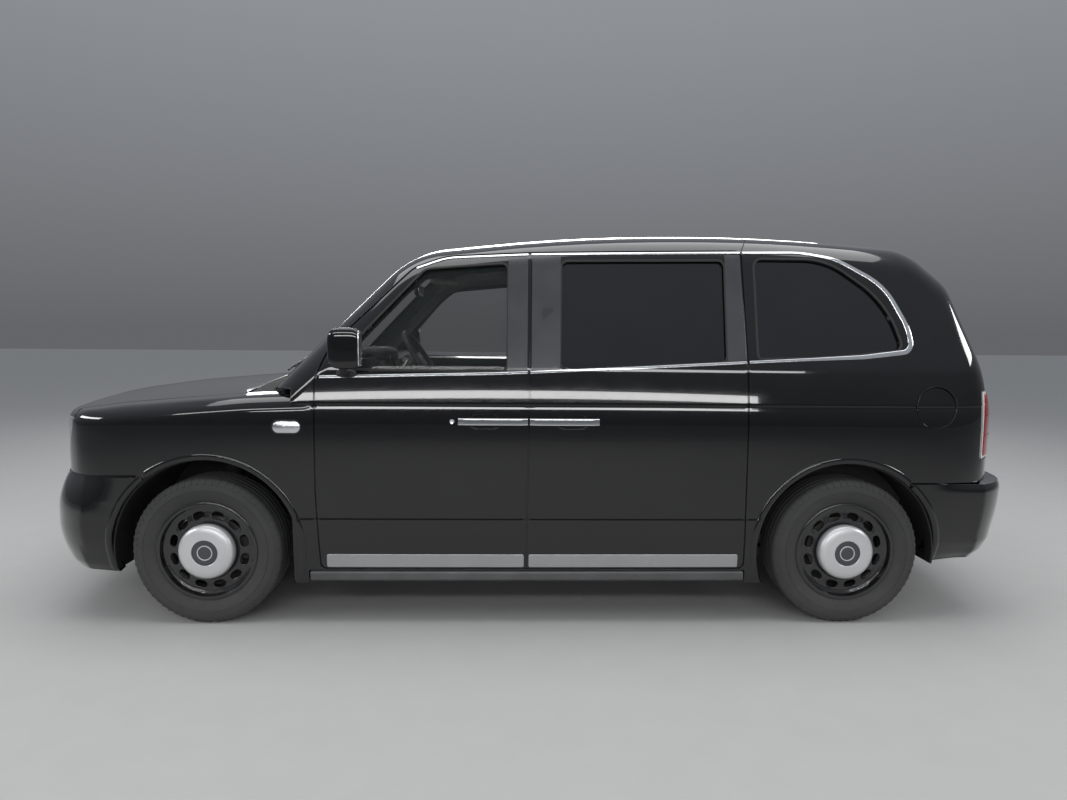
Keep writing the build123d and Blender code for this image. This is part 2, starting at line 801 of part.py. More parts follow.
def side_door(outline, window, handle_start, handle_end):
    """Return a left-hand door with its window opening and pull handle."""
    pocket_x = handle_start + (handle_end - handle_start) * 0.62
    with BuildPart() as door:
        add(within(door_skin, prism_y(outline, 500, 1000, -half_gap)))
        add(within(door_box, prism_y(outline, 500, 1000, -door_rebate)))
        add(prism_y(window, 500, 1000), mode=Mode.SUBTRACT)
        pocket = block(pocket_x - pocket_half, pocket_x + pocket_half, 905, 1000, handle_z[0] - 22, handle_z[1] + 22)
        add(pocket, mode=Mode.SUBTRACT)
        low, high = sorted((handle_start, handle_end))
        bar = block(low, high, 921, handle_proud_y, *handle_z, 5)
        grip = block(pocket_x - pocket_half - 20, pocket_x + pocket_half + 20, 900, handle_proud_y - 15, 900, 1000)
        add(without(bar, grip))
    return door.part


with BuildPart() as front_door:
    add(side_door(
        front_door_outline,
        front_window_outline,
        door_split + handle_gap,
        door_split + handle_gap + handle_length,
    ))
    add(block(*mirror_x, *mirror_y, *mirror_z, 30))
    add(block(mirror_x[0] + 50, mirror_x[1] - 16, 872, mirror_y[0] + 24, mirror_z[0] - 38, mirror_z[0] - 12, 6))
    add(block(mirror_x[0] + 50, mirror_x[1] - 16, mirror_y[0] + 2, mirror_y[0] + 46, mirror_z[0] - 38, mirror_z[0] + 12, 6))
write_pair(front_door.part, "front_door")

with BuildPart() as rear_door:
    add(side_door(
        rear_door_outline,
        rear_window_outline,
        door_split - handle_gap,
        door_split - handle_gap - handle_length,
    ))
write_pair(rear_door.part, "rear_door")

door_glass_layer = without(side_solid(glass_depth), side_solid(glass_depth + glass_thickness))
for window, name in ((front_window_outline, "front_glass"), (rear_window_outline, "rear_glass")):
    pane = within(door_glass_layer, prism_y(window, 500, 1000))
    write_pair(pane, name)

# Dashboard, steering wheel and seats
dash_profile = (
    (firewall_x - arch_wall, 1110, 0),
    (1000, 1190, 60),
    (880, 1232, 60),
    (770, 1240, 30),
    (728, 1180, 30),
    (740, 1080, 40),
    (850, 960, 80),
    (960, 880, 40),
    (firewall_x - arch_wall, 860, 0),
)
steering_centre = (553.0, 370.0, 1206.0)
steering_lean = 33.0
steering_radius = 178.0
rim_grip = 15.0
column_axis = (-cos(radians(steering_lean)), 0.0, sin(radians(steering_lean)))
column_plane = Plane(origin=steering_centre, x_dir=(0, 1, 0), z_dir=column_axis)

with BuildPart() as dashboard:
    add(within(prism_y(dash_profile, -900, 900), cabin_inner, side_solid(wall + 2 * floor_side_clearance)))
    for y_low, y_high in ((wing_inner_y - 6, reach), (-reach, 6 - wing_inner_y)):
        add(block(wing_start - 8, reach, y_low, y_high, 0, 1100), mode=Mode.SUBTRACT)
    with BuildSketch(column_plane.offset(-42)):
        Circle(34)
    extrude(amount=-250)
    add(block(800, firewall_x - arch_wall, -190, 190, floor_top, 1000, 12))
write(dashboard.part, "dashboard")

with BuildPart() as steering_wheel:
    with BuildSketch(column_plane.offset(-38)):
        Circle(38)
    extrude(amount=24, taper=-30)
    with BuildSketch(column_plane.offset(-24)):
        RectangleRounded(2 * steering_radius - 10, 34, 12)
        with Locations((0, -steering_radius / 2)):
            RectangleRounded(44, steering_radius - 6, 12)
    extrude(amount=16)
    rim_plane = Plane(origin=steering_centre, x_dir=(0, 1, 0), z_dir=column_plane.y_dir)
    with BuildSketch(rim_plane):
        with Locations((steering_radius, 0)):
            Circle(rim_grip)
    revolve(axis=Axis(steering_centre, column_axis), revolution_arc=360)
write(steering_wheel.part, "steering_wheel")


def seat(back_x, y_low, y_high, base_z, cushion_z, length, back_height, lean):
    """Return a bench or chair: plinth, cushion and leaning back in one solid."""
    thick = 110.0
    with BuildPart() as chair:
        add(block(back_x + 40, back_x + length - 60, y_low + 40, y_high - 40, base_z, cushion_z - thick + 10))
        add(block(back_x - 20, back_x + length, y_low, y_high, cushion_z - thick, cushion_z, 30))
        with BuildSketch(Plane.XZ.offset(-y_low)):
            with BuildLine():
                FilletPolyline(
                    (back_x + 40, cushion_z - 60),
                    (back_x + 40 - lean, cushion_z + back_height),
                    (back_x - 60 - lean, cushion_z + back_height),
                    (back_x - 80, cushion_z - 60),
                    radius=[20, 40, 40, 20],
                    close=True,
                )
            make_face()
        extrude(amount=-(y_high - y_low))
    return chair.part


seat_width = 480.0
seat_y = steering_centre[1]
with BuildPart() as driver_seat:
    add(seat(40, seat_y - seat_width / 2, seat_y + seat_width / 2, floor_top, 810, 500, 560, 60))
    add(block(-110, -20, seat_y - 130, seat_y + 130, 1400, 1580, 30))
    add(block(-80, -50, seat_y - 60, seat_y + 60, 1330, 1420))
    add(block(-reach, partition_x + 12, -reach, reach, 0, reach), mode=Mode.SUBTRACT)
write(driver_seat.part, "driver_seat")

bench_half_width = 630.0
with BuildPart() as rear_bench:
    add(seat(-1290, -bench_half_width, bench_half_width, boot_floor_top, 790, 470, 560, 60))
    for y in (-420.0, 0.0, 420.0):
        add(block(-1420, -1340, y - 120, y + 120, 1330, 1470, 30))
write(rear_bench.part, "rear_bench")

# Folding seats: the backs stand on the partition, the cushions tip down
jump_rows = ((420.0, "left"), (0.0, "centre"), (-420.0, "right"))
jump_width = 400.0
jump_back = 70.0
jump_hinge_z = 760.0
jump_cushion = (330.0, 60.0)
jump_gap = 12.0
jump_face = partition_face - jump_back
with BuildPart() as jump_seats:
    for y, _ in jump_rows:
        low, high = y - jump_width / 2, y + jump_width / 2
        add(block(jump_face, partition_face, low, high, jump_hinge_z + jump_cushion[0] - 40, 1330, 16))
        add(block(jump_face + 30, partition_face, low + 40, high - 40, floor_top, jump_hinge_z - 60))
write(jump_seats.part, "jump_seats")

for y, name in jump_rows:
    with BuildPart() as cushion:
        add(
            block(
                jump_face - jump_cushion[1],
                jump_face - 2,
                y - jump_width / 2,
                y + jump_width / 2,
                jump_hinge_z - 30,
                jump_hinge_z + jump_cushion[0] - 40 - jump_gap,
                14,
            )
        )
    write(cushion.part, f"jump_cushion_{name}")

# Wheels: rim barrel, pierced disc, cap, hub and brake disc turned about the axle
flange_y = rim_width / 2
seat_y_in = flange_y - 9
nave_y = 45.0
hat_radius = 80.0
ring_depth = 5.0

# Rim barrel: across the wheel from its middle plane, and radius
barrel_rows = (
    (flange_y, rim_radius),
    (seat_y_in, rim_radius),
    (seat_y_in, bead_radius),
    (32, bead_radius),
    (18, bead_radius - 20),
    (-34, bead_radius - 20),
    (-48, bead_radius),
    (-seat_y_in, bead_radius),
    (-seat_y_in, rim_radius),
    (-flange_y, rim_radius),
    (-flange_y, bead_radius - 8),
    (-50, bead_radius - 8),
    (-36, bead_radius - 28),
    (20, bead_radius - 28),
    (34, bead_radius - 8),
    (flange_y, bead_radius - 2),
)
# Pierced disc between the rim and the hub
disc_rows = (
    (74, bead_radius - 2),
    (68, bead_radius - 14),
    (64, wheel_hole_circle + 26),
    (66, wheel_hole_circle - 24),
    (56, 118),
    (nave_y + 8, 90),
    (nave_y + 8, hub_bore),
    (nave_y, hub_bore),
    (nave_y, 92),
    (56 - ring_depth, 124),
    (66 - ring_depth, wheel_hole_circle - 22),
    (64 - ring_depth, wheel_hole_circle + 28),
    (60, bead_radius - 2),
)
# Cap: a shallow bowl with a rounded shoulder and a raised middle
cap_rows = (
    (50, cap_radius - 22),
    (60, cap_radius - 4),
    (flange_y + 6, cap_radius),
    (flange_y + cap_proud - 12, cap_radius - 6),
    (flange_y + cap_proud - 2, cap_radius - 24),
    (flange_y + cap_proud, 66),
    (flange_y + cap_proud - 5, 59),
    (flange_y + cap_proud - 6, 0),
    (60, 0),
    (60, cap_radius - 26),
)
# Brake disc and its hat
brake_rows = (
    (-10, disc_radius),
    (14, disc_radius),
    (14, hat_radius),
    (nave_y, hat_radius),
    (nave_y, hub_bore),
    (nave_y - 12, hub_bore),
    (8, hat_radius - 8),
    (-10, hat_radius + 4),
)
# Right half of the tyre's section, from the bead to the tread
tyre_rows = (
    (seat_y_in, bead_radius),
    (seat_y_in, rim_radius + 4),
    (tyre_width / 2, rim_radius + 46),
    (tyre_width / 2 - 5, tyre_radius - 30),
    (tyre_width / 2 - 20, tyre_radius - 5),
    (tyre_width / 2 - 50, tyre_radius),
)


def turned(rows, axle_x, plane_y):
    """Return a ring turned about an axle from rows of (y from plane_y, radius)."""
    with BuildPart() as ring:
        with BuildSketch(Plane(origin=(axle_x, plane_y, tyre_radius), x_dir=(0, 1, 0), z_dir=(1, 0, 0))):
            with BuildLine():
                Polyline(*rows, close=True)
            make_face()
        revolve(axis=Axis((axle_x, 0, tyre_radius), (0, 1, 0)), revolution_arc=360)
    return ring.part


for axle_x, end in ((front_axle_x, "front"), (rear_axle_x, "rear")):
    with BuildPart() as wheel:
        for rows in (barrel_rows, disc_rows, cap_rows, brake_rows):
            add(turned(rows, axle_x, wheel_y))
        with BuildSketch(Plane(origin=(axle_x, wheel_y + 54, tyre_radius), x_dir=(1, 0, 0), z_dir=(0, 1, 0))):
            with PolarLocations(wheel_hole_circle, wheel_hole_count):
                SlotOverall(wheel_hole_length, wheel_hole_width, rotation=90)
        extrude(amount=30, mode=Mode.SUBTRACT)
    write_pair(wheel.part, f"wheel_{end}")
    rows = tyre_rows + tuple((-y, r) for y, r in reversed(tyre_rows))
    write_pair(turned(rows, axle_x, wheel_y), f"tyre_{end}")

# Front uprights, which steer about a vertical kingpin through their middle
stub_end = wheel_y + nave_y - 6
caliper_x = (-170.0, -98.0)
caliper_low = front_axle_x + caliper_x[0]
caliper_high = front_axle_x + caliper_x[1]
with BuildPart() as caliper:
    add(block(caliper_low, caliper_high, kingpin_y + 16, stub_end - 4, 290, 400, 8))
    add(block(0, caliper_high + 1, wheel_y - 16, wheel_y + 20, 0, reach), mode=Mode.SUBTRACT)
    add(block(caliper_low, caliper_low + 16, kingpin_y + 20, stub_end - 8, 296, 394))
with BuildPart() as knuckle:
    add(block(front_axle_x - 36, front_axle_x + 36, kingpin_y - 24, kingpin_y + 24, 222, 470, 8))
    add(rod_y(front_axle_x, tyre_radius, stub_radius, kingpin_y, stub_end))
    add(rod_y(front_axle_x, tyre_radius, hat_radius - 14, kingpin_y, wheel_y - 14))
    add(block(caliper_low + 10, front_axle_x, kingpin_y, kingpin_y + 22, 320, 370))
    add(caliper.part)
    add(block(front_axle_x - 150, front_axle_x, kingpin_y - 44, kingpin_y - 18, 245, 270))
write_pair(knuckle.part, "knuckle")

# Rear drive: motor housing, half shafts, links, hub carriers and springs
carrier_y = (684.0, 762.0)
with BuildPart() as rear_corner:
    add(block(rear_axle_x - 55, rear_axle_x + 55, *carrier_y, 240, 450, 10))
    add(rod_y(rear_axle_x, tyre_radius, stub_radius, carrier_y[0], stub_end))
    add(rod_y(rear_axle_x, tyre_radius, 17, 200, carrier_y[0] + 10))
    for x, z in ((-42, 256), (42, 256), (0, 420)):
        add(rod_y(rear_axle_x + x, z, 13, 200, carrier_y[0] + 10))
    add(block(rear_axle_x - 30, kick_x - sheet, 630, carrier_y[0] + 6, 262, 304))
    with BuildSketch(Plane.XY.offset(290)):
        with Locations((rear_axle_x + 120, 636)):
            Circle(48)
    extrude(amount=boot_floor_top - sheet - 290)
with BuildPart() as rear_axle:
    add(block(rear_axle_x - 210, rear_axle_x + 210, -240, 240, 232, rear_rail_z[0], 16))
    add(rear_corner.part)
    mirror(rear_corner.part, about=Plane.XZ)
    for x in (-170, 170):
        add(rod_y(rear_axle_x + x, rear_rail_z[0] - 24, 24, -rail_y[1], rail_y[1]))
write(rear_axle.part, "rear_axle")
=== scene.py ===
"""Looks of the taxi cab: finished panels, trims, wheels, lamps and cabin round the CAD frame."""

import logging
import math
from collections.abc import Callable, Sequence
from dataclasses import dataclass, field
from enum import Enum

import bpy
import numpy as np
from mathutils import Matrix, Vector
from mathutils.geometry import delaunay_2d_cdt


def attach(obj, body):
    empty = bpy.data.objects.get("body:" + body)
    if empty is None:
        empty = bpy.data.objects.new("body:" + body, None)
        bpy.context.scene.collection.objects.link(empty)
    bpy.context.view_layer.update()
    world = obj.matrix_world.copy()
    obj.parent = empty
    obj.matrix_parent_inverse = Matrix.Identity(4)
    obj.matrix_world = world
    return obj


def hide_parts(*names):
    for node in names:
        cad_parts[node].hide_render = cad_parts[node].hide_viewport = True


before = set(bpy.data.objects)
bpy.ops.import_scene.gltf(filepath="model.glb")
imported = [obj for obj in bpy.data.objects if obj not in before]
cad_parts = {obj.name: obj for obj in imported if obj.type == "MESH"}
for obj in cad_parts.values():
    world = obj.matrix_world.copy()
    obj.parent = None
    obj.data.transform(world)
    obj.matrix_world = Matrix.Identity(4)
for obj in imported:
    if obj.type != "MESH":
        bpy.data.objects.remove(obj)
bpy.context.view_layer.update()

logging.basicConfig(level=logging.INFO, format="%(message)s")
LOG = logging.getLogger("cab")

# Places and sizes on the cab are in millimetres: x forwards, y to the left, z up from the ground
MM = 0.001
HALF_WIDTH = 937.0
BOW_RADIUS = 90000.0
AXLE = 1492.5
AXLE_Z = 345.0
NOSE_TIP = 2428.5

# How finely corners, edges and seams are drawn
NEARLY_STRAIGHT = 1.5697
LONGEST_CORNER = 0.98
SHARED_CORNER = 0.499
SMALL_RADIUS = 100.0
SMALL_TURN = 0.16
LARGE_TURN = 0.02
RAY_REACH = 3000.0
HALVINGS = 24
LONGEST_EDGE = 90.0
RIM_CLEARANCE = 0.42
RIM_CHUNK = 400
ROLL_ANGLES = (35.0, 65.0, 90.0)
SHARP_ANGLE = math.radians(38)
SEAM_DEPTH = 8.0
SEAM_WIDTH = 7.0
PUFF_HEIGHT = 3.0
PUFF_WIDTH = 40.0

Row = tuple[float, float, float]
Span = tuple[float, float, float, float]
Field = Callable[[np.ndarray], np.ndarray]


# ---------------------------------------------------------------- outlines and fields
def rounded(rows: Sequence[Row], step: float = 12.0, closed: bool = True) -> np.ndarray:
    """Turn (a, b, corner radius) rows into dense points.

    Args:
        rows: Vertices of the outline.
        step: Longest distance between points on straight parts.
        closed: Whether the last row joins the first.

    Returns:
        An (N, 2) array of points.
    """
    count = len(rows)
    points = [np.array(row[:2], float) for row in rows]
    dense: list[np.ndarray] = []
    for index, (_, _, radius) in enumerate(rows):
        here = points[index]
        open_end = not closed and index in (0, count - 1)
        if radius <= 0 or open_end:
            dense.append(here)
            continue
        back, ahead = points[index - 1] - here, points[(index + 1) % count] - here
        len_back, len_ahead = np.linalg.norm(back), np.linalg.norm(ahead)
        back, ahead = back / len_back, ahead / len_ahead
        half = 0.5 * math.acos(float(np.clip(back @ ahead, -1, 1)))
        if half > NEARLY_STRAIGHT:
            dense.append(here)
            continue
        wanted, shortest = radius / math.tan(half), min(len_back, len_ahead)
        reach = wanted if wanted < LONGEST_CORNER * shortest else SHARED_CORNER * shortest
        size = reach * math.tan(half)
        bisector = (back + ahead) / np.linalg.norm(back + ahead)
        centre = here + bisector * size / math.sin(half)
        turn = math.pi - 2 * half
        first, last = here + back * reach - centre, here + ahead * reach - centre
        finest = SMALL_TURN if size < SMALL_RADIUS else LARGE_TURN
        pieces = max(2, math.ceil(turn * size / step), math.ceil(turn / finest))
        for part in range(pieces + 1):
            share = part / pieces
            blend = math.sin((1 - share) * turn) * first + math.sin(share * turn) * last
            dense.append(centre + blend / math.sin(turn))
    ring = np.array(dense)
    if step == math.inf:
        return ring
    out = []
    for index in range(len(ring) if closed else len(ring) - 1):
        start, end = ring[index], ring[(index + 1) % len(ring)]
        pieces = max(1, math.ceil(np.linalg.norm(end - start) / step))
        out.extend(start + (end - start) * part / pieces for part in range(pieces))
    if not closed:
        out.append(ring[-1])
    return np.array(out)


def grown(rows: Sequence[Row], distance: float) -> list[Row]:
    """Move every edge of a closed outline outwards by a distance."""
    after = [*rows[1:], rows[0]]
    turn = 1.0 if sum(a0 * b1 - a1 * b0 for (a0, b0, _), (a1, b1, _) in zip(rows, after)) > 0 else -1.0
    lines = []
    for (a0, b0, _), (a1, b1, _) in zip(rows, after):
        length = math.hypot(a1 - a0, b1 - b0)
        normal = (turn * (b1 - b0) / length, -turn * (a1 - a0) / length)
        lines.append((normal, normal[0] * a0 + normal[1] * b0 + distance))
    out = []
    for i, (_, _, corner) in enumerate(rows):
        (n0, c0), (n1, c1) = lines[i - 1], lines[i]
        cross = n0[0] * n1[1] - n0[1] * n1[0]
        bulge = 1.0 if cross * turn > 0 else -1.0
        radius = max(corner + bulge * distance, 0.0) if corner else 0.0
        out.append(((c0 * n1[1] - c1 * n0[1]) / cross, (n0[0] * c1 - n1[0] * c0) / cross, radius))
    return out


def rect(a_low: float, a_high: float, b_low: float, b_high: float, radius: float = 0.0) -> list[Row]:
    """Return the outline of a rectangle with rounded corners."""
    return [(a_low, b_low, radius), (a_high, b_low, radius), (a_high, b_high, radius), (a_low, b_high, radius)]


def circle_rows(a: float, b: float, radius: float, count: int = 72) -> list[Row]:
    """Return a circle as an outline of many short sides."""
    return [
        (a + radius * math.cos(math.tau * i / count), b + radius * math.sin(math.tau * i / count), 0.0)
        for i in range(count)
    ]


def inside(points: np.ndarray, ring: np.ndarray) -> np.ndarray:
    """Return which (N, 2) points lie inside a closed ring."""
    result = np.zeros(len(points), bool)
    a, b = points[:, 0], points[:, 1]
    for (a0, b0), (a1, b1) in zip(ring, np.roll(ring, -1, 0)):
        if b0 == b1:
            continue
        crossing = (b0 > b) != (b1 > b)
        result ^= crossing & (a < (a1 - a0) * (b - b0) / (b1 - b0) + a0)
    return result


class DistanceTable:
    """Signed distance to a closed outline, tabulated once and read back smoothly."""

    def __init__(self, ring: np.ndarray, step: float = 8.0, margin: float = 80.0) -> None:
        self.step = step
        self.low = ring.min(0) - margin
        count = np.ceil((ring.max(0) + margin - self.low) / step).astype(int) + 4
        grid = np.stack(np.meshgrid(np.arange(count[0]), np.arange(count[1]), indexing="ij"), -1)
        spots = self.low + grid.reshape(-1, 2) * step
        nearest = np.full(len(spots), np.inf)
        for start, end in zip(ring, np.roll(ring, -1, 0)):
            side = end - start
            square = side @ side
            if square < 1e-9:
                continue
            share = np.clip((spots - start) @ side / square, 0, 1)
            offset = spots - start - share[:, None] * side
            nearest = np.minimum(nearest, np.einsum("ij,ij->i", offset, offset))
        sign = np.where(inside(spots, ring), -1.0, 1.0)
        self.table = (sign * np.sqrt(nearest)).reshape(count)

    def __call__(self, a: np.ndarray, b: np.ndarray) -> np.ndarray:
        """Return the distance at each point, by cubic interpolation."""
        u = np.clip((a - self.low[0]) / self.step, 1, self.table.shape[0] - 3.001)
        v = np.clip((b - self.low[1]) / self.step, 1, self.table.shape[1] - 3.001)
        i, j = u.astype(int), v.astype(int)
        weights = [self._weights(u - i), self._weights(v - j)]
        total = np.zeros_like(u)
        for m in range(4):
            row = sum(weights[1][n] * self.table[i + m - 1, j + n - 1] for n in range(4))
            total += weights[0][m] * row
        return total

    @staticmethod
    def _weights(t: np.ndarray) -> list[np.ndarray]:
        """Return the four Catmull-Rom weights."""
        return [
            ((-0.5 * t + 1.0) * t - 0.5) * t,
            (1.5 * t - 2.5) * t * t + 1.0,
            ((-1.5 * t + 2.0) * t + 0.5) * t,
            (0.5 * t - 0.5) * t * t,
        ]


def round_max(a: np.ndarray, b: np.ndarray, radius: float) -> np.ndarray:
    """Join two distance fields with a rounded outer corner."""
    return np.minimum(np.maximum(a, b), -radius) + np.hypot(np.maximum(a + radius, 0), np.maximum(b + radius, 0))


def plan_ring(front_tip: float, rear_tip: float) -> np.ndarray:
    """Return the plan of a form whose ends are arcs with rounded corners."""
    points = []
    for tip, arc, corner, way in ((front_tip, 1750.0, 400.0, 1), (-rear_tip, 2682.0, 350.0, -1)):
        side = HALF_WIDTH + 2
        centre = tip - arc
        corner_x = centre + math.sqrt((arc - corner) ** 2 - (side - corner) ** 2)
        meet = math.atan2(side - corner, corner_x - centre)
        half = [(centre + arc * math.cos(t), arc * math.sin(t)) for t in np.linspace(0, meet, 60)]
        turn = np.linspace(meet, math.pi / 2, 30)[1:]
        half += [(corner_x + corner * math.cos(t), side - corner + corner * math.sin(t)) for t in turn]
        end = [(x, -y) for x, y in reversed(half[1:])] + half
        points += [(way * x, way * y) for x, y in end]
    return np.array(points)


SIDE_ROWS = (
    (HALF_WIDTH - 23, 190, 0), (HALF_WIDTH, 430, 500), (HALF_WIDTH - 5, 960, 800),
    (HALF_WIDTH - 51, 1200, 220), (HALF_WIDTH - 297, 1970, 0),
)
CABIN_ROWS = (
    (1330, 100, 0), (1330, 1095, 0), (565, 1800, 420), (-200, 1880, 9000), (-1100, 1893, 9000),
    (-1850, 1840, 260), (-2030, 1690, 160), (-2190, 1250, 80), (-2274, 1120, 120),
    (90 - NOSE_TIP, 920, 300), (83 - NOSE_TIP, 640, 0), (83 - NOSE_TIP, 100, 0),
)
NOSE_ROWS = (
    (960, 100, 0), (960, 1142, 0), (1300, 1128, 2500), (1894, 1078, 2500), (2180, 1038, 200), (2291, 974, 80),
    (2318, 860, 400), (2334, 780, 300), (NOSE_TIP - 66, 700, 0), (NOSE_TIP - 66, 100, 0),
)
SHOULDER_LINE = 1030.0
SHOULDER_DEPTH = 3.4
SILL_LINE = 508.0
SILL_DEPTH = 3.0


def bow(x: np.ndarray) -> np.ndarray:
    """Return how far the sides curve in towards the ends at places along x."""
    return BOW_RADIUS - np.sqrt(BOW_RADIUS**2 - x * x)


def ledge(away: np.ndarray, fade: float, drop: float) -> np.ndarray:
    """Return a pressed line's share of its depth, which fades on one side and drops on the other."""
    return np.where(away > 0, np.exp(-np.maximum(away, 0) / fade), np.clip(1 + away / drop, 0, 1))


def swage(z: np.ndarray) -> np.ndarray:
    """Return how far the pressed shoulder and sill lines set the sides back at a height."""
    return SHOULDER_DEPTH * ledge(SHOULDER_LINE - z, 55, 7) + SILL_DEPTH * ledge(z - SILL_LINE, 70, 9)


class Form:
    """Rounded outer form of the body: side section, crowned centreline and plan together."""

    side = DistanceTable(rounded([*SIDE_ROWS, *((-y, z, r) for y, z, r in reversed(SIDE_ROWS))], math.inf))

    def __init__(
        self, rows: Sequence[Row], crown: float, front_tip: float, rear_tip: float, shoulder: float, end: float
    ) -> None:
        self.centre = max(z for _, z, _ in rows) - crown
        self.profile = DistanceTable(rounded(rows, math.inf))
        self.plan = DistanceTable(plan_ring(front_tip, rear_tip))
        self.shoulder, self.end = shoulder, end

    def __call__(self, p: np.ndarray) -> np.ndarray:
        """Return the signed distance of (N, 3) points from the form's skin."""
        x, y, z = p.T
        side = Form.side(np.abs(y) + bow(x), z) + swage(z)
        crown = self.profile(x, self.centre + np.hypot(z - self.centre, y))
        return round_max(round_max(side, crown, self.shoulder), self.plan(x, y), self.end)


class Stack:
    """Form of a bumper: the body's plan with an inset that changes with height.

    Its flanks stay flush with the panels above them, so the upper inset grows towards the end of the
    body, and the lower one is smaller on the flanks.
    """

    plan = DistanceTable(plan_ring(NOSE_TIP, -NOSE_TIP))
    flank_end = 1860
    blend_length = 260
    flank_share = 0.45

    def __init__(self, levels: Sequence[tuple[float, float]]) -> None:
        self.heights, self.insets = np.array(levels, float).T

    def __call__(self, p: np.ndarray) -> np.ndarray:
        """Return the signed distance of (N, 3) points from the bumper's skin."""
        x, y, z = p.T
        share = np.clip((np.abs(x) - self.flank_end) / self.blend_length, 0, 1)
        share = share * share * (3 - 2 * share)
        inset = sum(np.interp(z + offset, self.heights, self.insets) for offset in (-14, -5, 5, 14)) / 4
        inset *= share + self.flank_share * (1 - share) * np.clip((580 - z) / 60, 0, 1)
        side = Form.side(np.abs(y) + bow(x) - 2, np.clip(z, 330, 900))
        return np.maximum(self.plan(x, y), side) + inset


def slope(form: Field, p: np.ndarray, reach: float = 5.0) -> np.ndarray:
    """Return the unit outward normals of a form at (N, 3) points."""
    result = np.empty_like(p)
    for axis in range(3):
        step = np.zeros(3)
        step[axis] = reach
        result[:, axis] = form(p + step) - form(p - step)
    return result / np.linalg.norm(result, axis=1)[:, None]


def cast(
    form: Field, origin: np.ndarray, way: np.ndarray, far: float = 1700.0
) -> tuple[np.ndarray, np.ndarray]:
    """Find where rays leave a form.

    Returns:
        The (N, 3) meeting points, and which rays started inside and came out.
    """
    low, high = np.zeros(len(origin)), np.full(len(origin), far)
    good = (form(origin) < 0) & (form(origin + way * far) > 0)
    for _ in range(HALVINGS):
        middle = (low + high) / 2
        outside = form(origin + way * middle[:, None]) > 0
        high = np.where(outside, middle, high)
        low = np.where(outside, low, middle)
    return origin + way * ((low + high) / 2)[:, None], good


# ---------------------------------------------------------------- panels
class Look(Enum):
    """Direction in which an outline is seen."""

    SIDE = "side"
    FRONT = "front"
    REAR = "rear"
    TOP = "top"


LOOK_AXES = {
    Look.SIDE: ((0, 2), 1, 1.0),
    Look.FRONT: ((1, 2), 0, 1.0),
    Look.REAR: ((1, 2), 0, -1.0),
    Look.TOP: ((0, 1), 2, 1.0),
}


def look_at(flat: np.ndarray, look: Look, form: Field, start: float = 0.0) -> tuple[np.ndarray, np.ndarray]:
    """Lay flat (a, b) points on a form along the direction in which they are seen.

    Args:
        flat: Array whose first two columns are a and b.
        look: Direction in which they are seen.
        form: Form that they are laid on.
        start: Place along the direction's axis where the rays start.

    Returns:
        The (N, 3) points, and which of them met the form.
    """
    (first, second), axis, sign = LOOK_AXES[look]
    origin, way = np.zeros((2, len(flat), 3))
    origin[:, first], origin[:, second], origin[:, axis] = flat[:, 0], flat[:, 1], start
    way[:, axis] = sign
    return cast(form, origin, way, RAY_REACH)


@dataclass(frozen=True)
class Cut:
    """Outline that trims a panel.

    Attributes:
        look: Direction in which the outline is seen.
        rows: Its vertices.
        grow: How far it is moved outwards.
        keep: Whether the panel keeps what is inside or what is outside.
        beyond: Least distance along the direction at which it acts.
        start: Place along the direction's axis where its rays start.
    """

    look: Look
    rows: Sequence[Row]
    grow: float = 0.0
    keep: bool = False
    beyond: float = 0.0
    start: float = 0.0

    def ring(self) -> np.ndarray:
        """Return the outline as dense points."""
        return rounded(grown(self.rows, self.grow) if self.grow else self.rows)

    def acts(self, p: np.ndarray) -> np.ndarray:
        """Return at which (N, 3) points the outline acts."""
        _, axis, sign = LOOK_AXES[self.look]
        return p[:, axis] * sign > self.beyond

    def curve(self, form: Field) -> tuple[np.ndarray, np.ndarray]:
        """Lay the outline on a form and tell which points are on it."""
        points, good = look_at(self.ring(), self.look, form, self.start)
        return points, good & self.acts(points)

    def allows(self, p: np.ndarray) -> np.ndarray:
        """Return which (N, 3) points this outline leaves in the panel."""
        seen, _, _ = LOOK_AXES[self.look]
        covered = self.acts(p) & inside(p[:, list(seen)], self.ring())
        return covered if self.keep else ~covered


@dataclass(frozen=True)
class SidePatch:
    """Map of the left side: along the body, round its corners, and up over the shoulder.

    Attributes:
        y: Place of the spine across the body.
        z: Height of the spine.
        rear: Rearmost x of the spine.
        front: Foremost x of the spine.
        swing: Length on the map of a turn of one radian.
    """

    y: float = 0.0
    z: float = 1e6
    rear: float = -1e6
    front: float = 1e6
    swing: float = 420.0

    def rays(self, uv: np.ndarray) -> tuple[np.ndarray, np.ndarray]:
        """Return the origins and directions for map points."""
        u, v = uv.T
        along = np.clip(u, self.rear, self.front)
        around = (along - u) / self.swing
        up = np.clip((v - self.z) / self.swing, 0, None)
        origin = np.stack([along, np.full_like(u, self.y), np.minimum(v, self.z)], 1)
        way = np.stack([-np.sin(around) * np.cos(up), np.cos(around) * np.cos(up), np.sin(up)], 1)
        return origin, way

    def locate(self, p: np.ndarray) -> np.ndarray:
        """Return the map points of (N, 3) places."""
        x, y, z = p.T
        along = np.clip(x, self.rear, self.front)
        around = np.arctan2(along - x, y - self.y)
        up = np.arctan2(np.maximum(z - self.z, 0), np.hypot(x - along, y - self.y))
        return np.stack([along - around * self.swing, np.minimum(z, self.z) + up * self.swing], 1)


